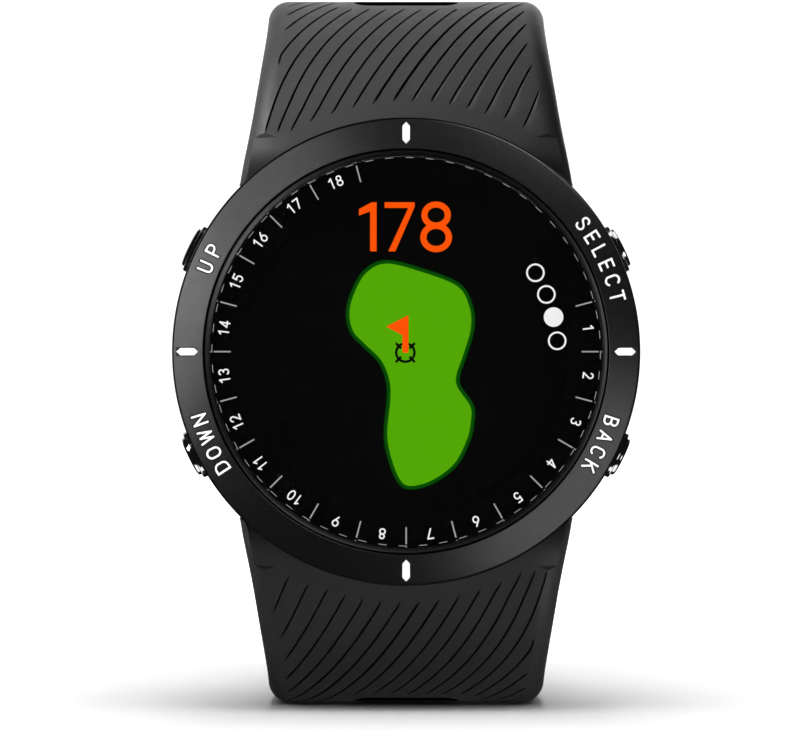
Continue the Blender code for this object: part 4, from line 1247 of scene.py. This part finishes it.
def make_keepers():
    start, end = UPPER_LENGTH - KEEPER_FIXED_FROM, UPPER_LENGTH - KEEPER_FIXED_TO
    mesh = to_mesh("keeper", keeper(start, end), 40)
    piece("keeper_loop_fixed", mesh, "silicone", "upper_strap", "strap_silicone", "keeper_fixed")
    bend_start = sum(length for length, _ in ROOT) + UPPER_FLAT
    middle = bend_start + UPPER_BEND_R * math.radians(KEEPER_BEND_AT)
    half = UPPER_BEND_R * math.radians(KEEPER_HALF_TURN)
    mesh = to_mesh("keeper", keeper(middle - half, middle + half), 40)
    piece("keeper_loop_sliding", mesh, "silicone", "sliding_keeper", "strap_silicone", "keeper_sliding")


# ---- materials of the CAD nodes that stay --------------------------------------------------
STAY = {
    "case_plastic": "case", "seal_rubber": "rubber", "board_green": "board", "shield_metal": "foil",
    "battery_foil": "foil", "contact_gold": "gold", "button_metal": "button", "steel": "steel",
    "back_metal": "back", "strap_silicone": "silicone", "buckle_metal": "buckle", "marker_white": "enamel",
    "display": "print", "dial_black": "print", "lens_glass": "glass", "bezel_ceramic": "ceramic",
}


def paint_frame():
    """Gives each CAD node the material of its record slot."""
    slots = {part["node"]: part["material_slot"] for part in frame["record"]["subparts"]}
    for name, obj in frame["nodes"].items():
        obj.data.materials.clear()
        obj.data.materials.append(LOOK[STAY[slots[name]]])


# ---- floor, backdrop, lights and camera ----------------------------------------------------
def stage_plane(name, corners, colour, emission=0.0):
    mesh = bpy.data.meshes.new(name)
    mesh.from_pydata([Vector(c) * MM for c in corners], [], [(0, 1, 2, 3)])
    obj = bpy.data.objects.new(name, mesh)
    scene.collection.objects.link(obj)
    made = shader_material(name, colour, 0.9, Specular_IOR_Level=0.0)
    shader = made.node_tree.nodes["Principled BSDF"]
    shader.inputs["Emission Color"].default_value = (1, 1, 1, 1)
    shader.inputs["Emission Strength"].default_value = emission
    mesh.materials.append(made)
    return obj


def glow_with_distance(made, start, end):
    """The floor glows more with distance from the watch, from none at start to white at end: painted light
    that keeps it white where the lamp's light falls off.
    """
    tree = made.node_tree
    place = tree.nodes.new("ShaderNodeTexCoord")
    length = tree.nodes.new("ShaderNodeVectorMath")
    length.operation = "LENGTH"
    tree.links.new(place.outputs["Object"], length.inputs[0])
    result = remap(made, length.outputs["Value"], 0.0, 1.1, start * MM, end * MM)
    tree.links.new(result, tree.nodes["Principled BSDF"].inputs["Emission Strength"])


def area_light(name, place, size, power, only=(), target=(0, 0, 0), avoid=()):
    """A round soft light on the pieces in only, or on all but the floor, the bezel and those in avoid."""
    data = bpy.data.lights.new(name, "AREA")
    data.shape = "DISK"
    data.energy = power
    data.size = size * MM
    obj = bpy.data.objects.new(name, data)
    scene.collection.objects.link(obj)
    obj.location = Vector(place) * MM
    obj.rotation_euler = (Vector(target) - Vector(place)).to_track_quat("-Z", "Y").to_euler()
    group = bpy.data.collections.new(f"{name}_receivers")
    obj.light_linking.receiver_collection = group
    for number, receiver in enumerate(only or ("floor", "bezel_ring", *avoid)):
        group.objects.link(bpy.data.objects[receiver])
        if not only:
            group.collection_objects[number].light_linking.link_state = "EXCLUDE"
    return obj


def round_the_axis(polar, angle):
    """A place at this angle off the dial's axis and at this angle round it, in degrees."""
    off, about = math.radians(polar), math.radians(angle)
    out = LIGHT_DISTANCE * math.sin(off)
    return (out * math.cos(about), -LIGHT_DISTANCE * math.cos(off), out * math.sin(about))


LIGHT_DISTANCE = 430.0
BEZEL_LIGHTS = (            # (degrees off the dial's axis, degrees round it, share of the power)
    (20, 140, 0.1125), (20, 320, 0.0987), (26, 175, 0.1801), (34, 60, 0.3073),
)
BEZEL_POWER = 0.64          # watts
KEY, LOW_FILL, BACK_FILL = 1.2, 0.6, 0.3      # watts
STRAP_KEY, STRAP_TOP, STRAP_BACK = 0.092, 0.21, 0.17
STRAP_RIGHT, STRAP_BELOW, STRAP_EDGE = 0.020, 0.023, 0.04
LIP_POWER = 0.25
BUTTON_POWER = 1.2
ENAMEL_POWER = 2.0
LAMP = 0.6
OVERHEAD = 1.0              # watts per square metre
FLOOR_Z = -33.94            # just under the strap's lowest point at rest
WIDE, FAR = 1500, 1800      # how far the stage reaches aside and in front, and behind


def level(start, end):
    """The corners of a floor between two depths."""
    return [(-WIDE, start, FLOOR_Z), (WIDE, start, FLOOR_Z), (WIDE, end, FLOOR_Z), (-WIDE, end, FLOOR_Z)]


def upright(start, end):
    """The corners of a wall between two places in X and Y, from just under the floor."""
    low, high = FLOOR_Z - 20, 1500
    return [(*start, low), (*end, low), (*end, high), (*start, high)]


def make_stage():
    front = -170
    ground = stage_plane("floor", level(front, FAR), (0.80, 0.80, 0.80))
    glow_with_distance(ground.data.materials[0], 90, 260)
    wall = stage_plane("backdrop", upright((-WIDE, FAR), (WIDE, FAR)), (0.2, 0.2, 0.2), 1.0)
    ground.visible_glossy = False
    ground.visible_shadow = False
    wall.visible_shadow = False
    round_about = {         # only the camera sees these
        "floor_front": level(-WIDE, front),
        "backdrop_front": upright((-WIDE, -WIDE), (WIDE, -WIDE)),
        "backdrop_left": upright((-WIDE, -WIDE), (-WIDE, FAR)),
        "backdrop_right": upright((WIDE, -WIDE), (WIDE, FAR)),
    }
    for name, corners in round_about.items():
        plane = stage_plane(name, corners, (0.2, 0.2, 0.2), 1.0)
        plane.visible_diffuse = False
        plane.visible_glossy = False
        plane.visible_transmission = False
        plane.visible_shadow = False
    world = bpy.data.worlds.new("studio")
    world.use_nodes = True
    world.node_tree.nodes["Background"].inputs["Color"].default_value = (1, 1, 1, 1)
    world.node_tree.nodes["Background"].inputs["Strength"].default_value = 0.012
    scene.world = world
    sun = bpy.data.lights.new("overhead", "SUN")
    sun.energy = OVERHEAD
    sun.angle = math.radians(100)
    overhead = bpy.data.objects.new("overhead", sun)
    scene.collection.objects.link(overhead)
    floor_only = bpy.data.collections.new("overhead_receivers")
    floor_only.objects.link(ground)
    overhead.light_linking.receiver_collection = floor_only


BANDS = ("strap_upper_band", "strap_lower_band")
BESIDE_12, BESIDE_6 = (0, 0, 28), (0, 0, -28)       # where the lights of each strap half point


def make_lights():
    lamp = area_light("lamp", (0, -12, 150), 90, LAMP, ("floor",))
    lamp.data.shape = "ELLIPSE"
    lamp.data.size_y = 440 * MM
    lamp.rotation_euler = (0, 0, 0)
    area_light("strap_right", (60, -48, -60), 40, STRAP_RIGHT, BANDS[1:], BESIDE_6)
    area_light("strap_above", (-60, -60, 300), 250, STRAP_TOP, BANDS[:1], BESIDE_12)
    area_light("strap_behind", (0, 150, 260), 200, STRAP_BACK, BANDS[:1], BESIDE_12)
    area_light("strap_below", (0, 150, -260), 200, STRAP_BELOW, BANDS[1:], BESIDE_6)
    area_light("key_left", (-260, -260, 200), 160, KEY, avoid=(*BANDS, "button_cap_up", "lens_lip"))
    area_light("strap_left", (-60, -48, 60), 40, STRAP_KEY, BANDS[:1], BESIDE_12)
    area_light("fill_low_right", (320, -280, -200), 200, LOW_FILL, avoid=BANDS)
    area_light("back_fill", (120, 380, 160), 300, BACK_FILL)
    bezel = ("bezel_ring", "lens_lip", "button_words_enamel", "button_words_print")
    for number, (polar, angle, power) in enumerate(BEZEL_LIGHTS):
        area_light(f"bezel_{number}", round_the_axis(polar, angle), 160, power * BEZEL_POWER, bezel)
    area_light("lip_right", round_the_axis(39, 185), 160, LIP_POWER, ("lens_lip",))
    area_light("edge_left", (-150, 10, 0), 80, STRAP_EDGE, BANDS)
    enamel = ["button_words_enamel", *(f"bezel_marker_{name}" for name in ("3", "6", "9", "12"))]
    area_light("enamel_front", (0, -700, 0), 300, ENAMEL_POWER, enamel)
    caps = [f"button_cap_{name}" for name, _ in BUTTONS]
    area_light("buttons_below", (0, -10, -420), 440, BUTTON_POWER, caps)
    area_light("buttons_above", (0, -10, 420), 440, BUTTON_POWER, ("button_cap_select", "button_cap_down"))


SENSOR = 36.0
VIEW_WIDTH = 75.08          # what the frame takes in at the bezel's front


def make_camera():
    """Straight at the dial."""
    data = bpy.data.cameras.new("camera")
    data.lens = SENSOR * VIEW_DISTANCE / VIEW_WIDTH
    data.sensor_width = SENSOR
    data.shift_x, data.shift_y = -0.0077, -0.0292
    data.clip_start = 0.05
    data.clip_end = 10.0
    camera = bpy.data.objects.new("camera", data)
    scene.collection.objects.link(camera)
    camera.location = Vector((0, FRONT_Y - VIEW_DISTANCE, 0)) * MM
    camera.rotation_euler = (math.radians(90), 0, 0)
    scene.camera = camera


paint_frame()
make_camera()
make_stage()
make_bezel()
make_button_words()
make_number_ring()
make_screen()
make_lens()
make_case()
make_case_back()
make_buttons()
make_spring_bars()
make_straps()
make_buckle()
make_keepers()
make_lights()
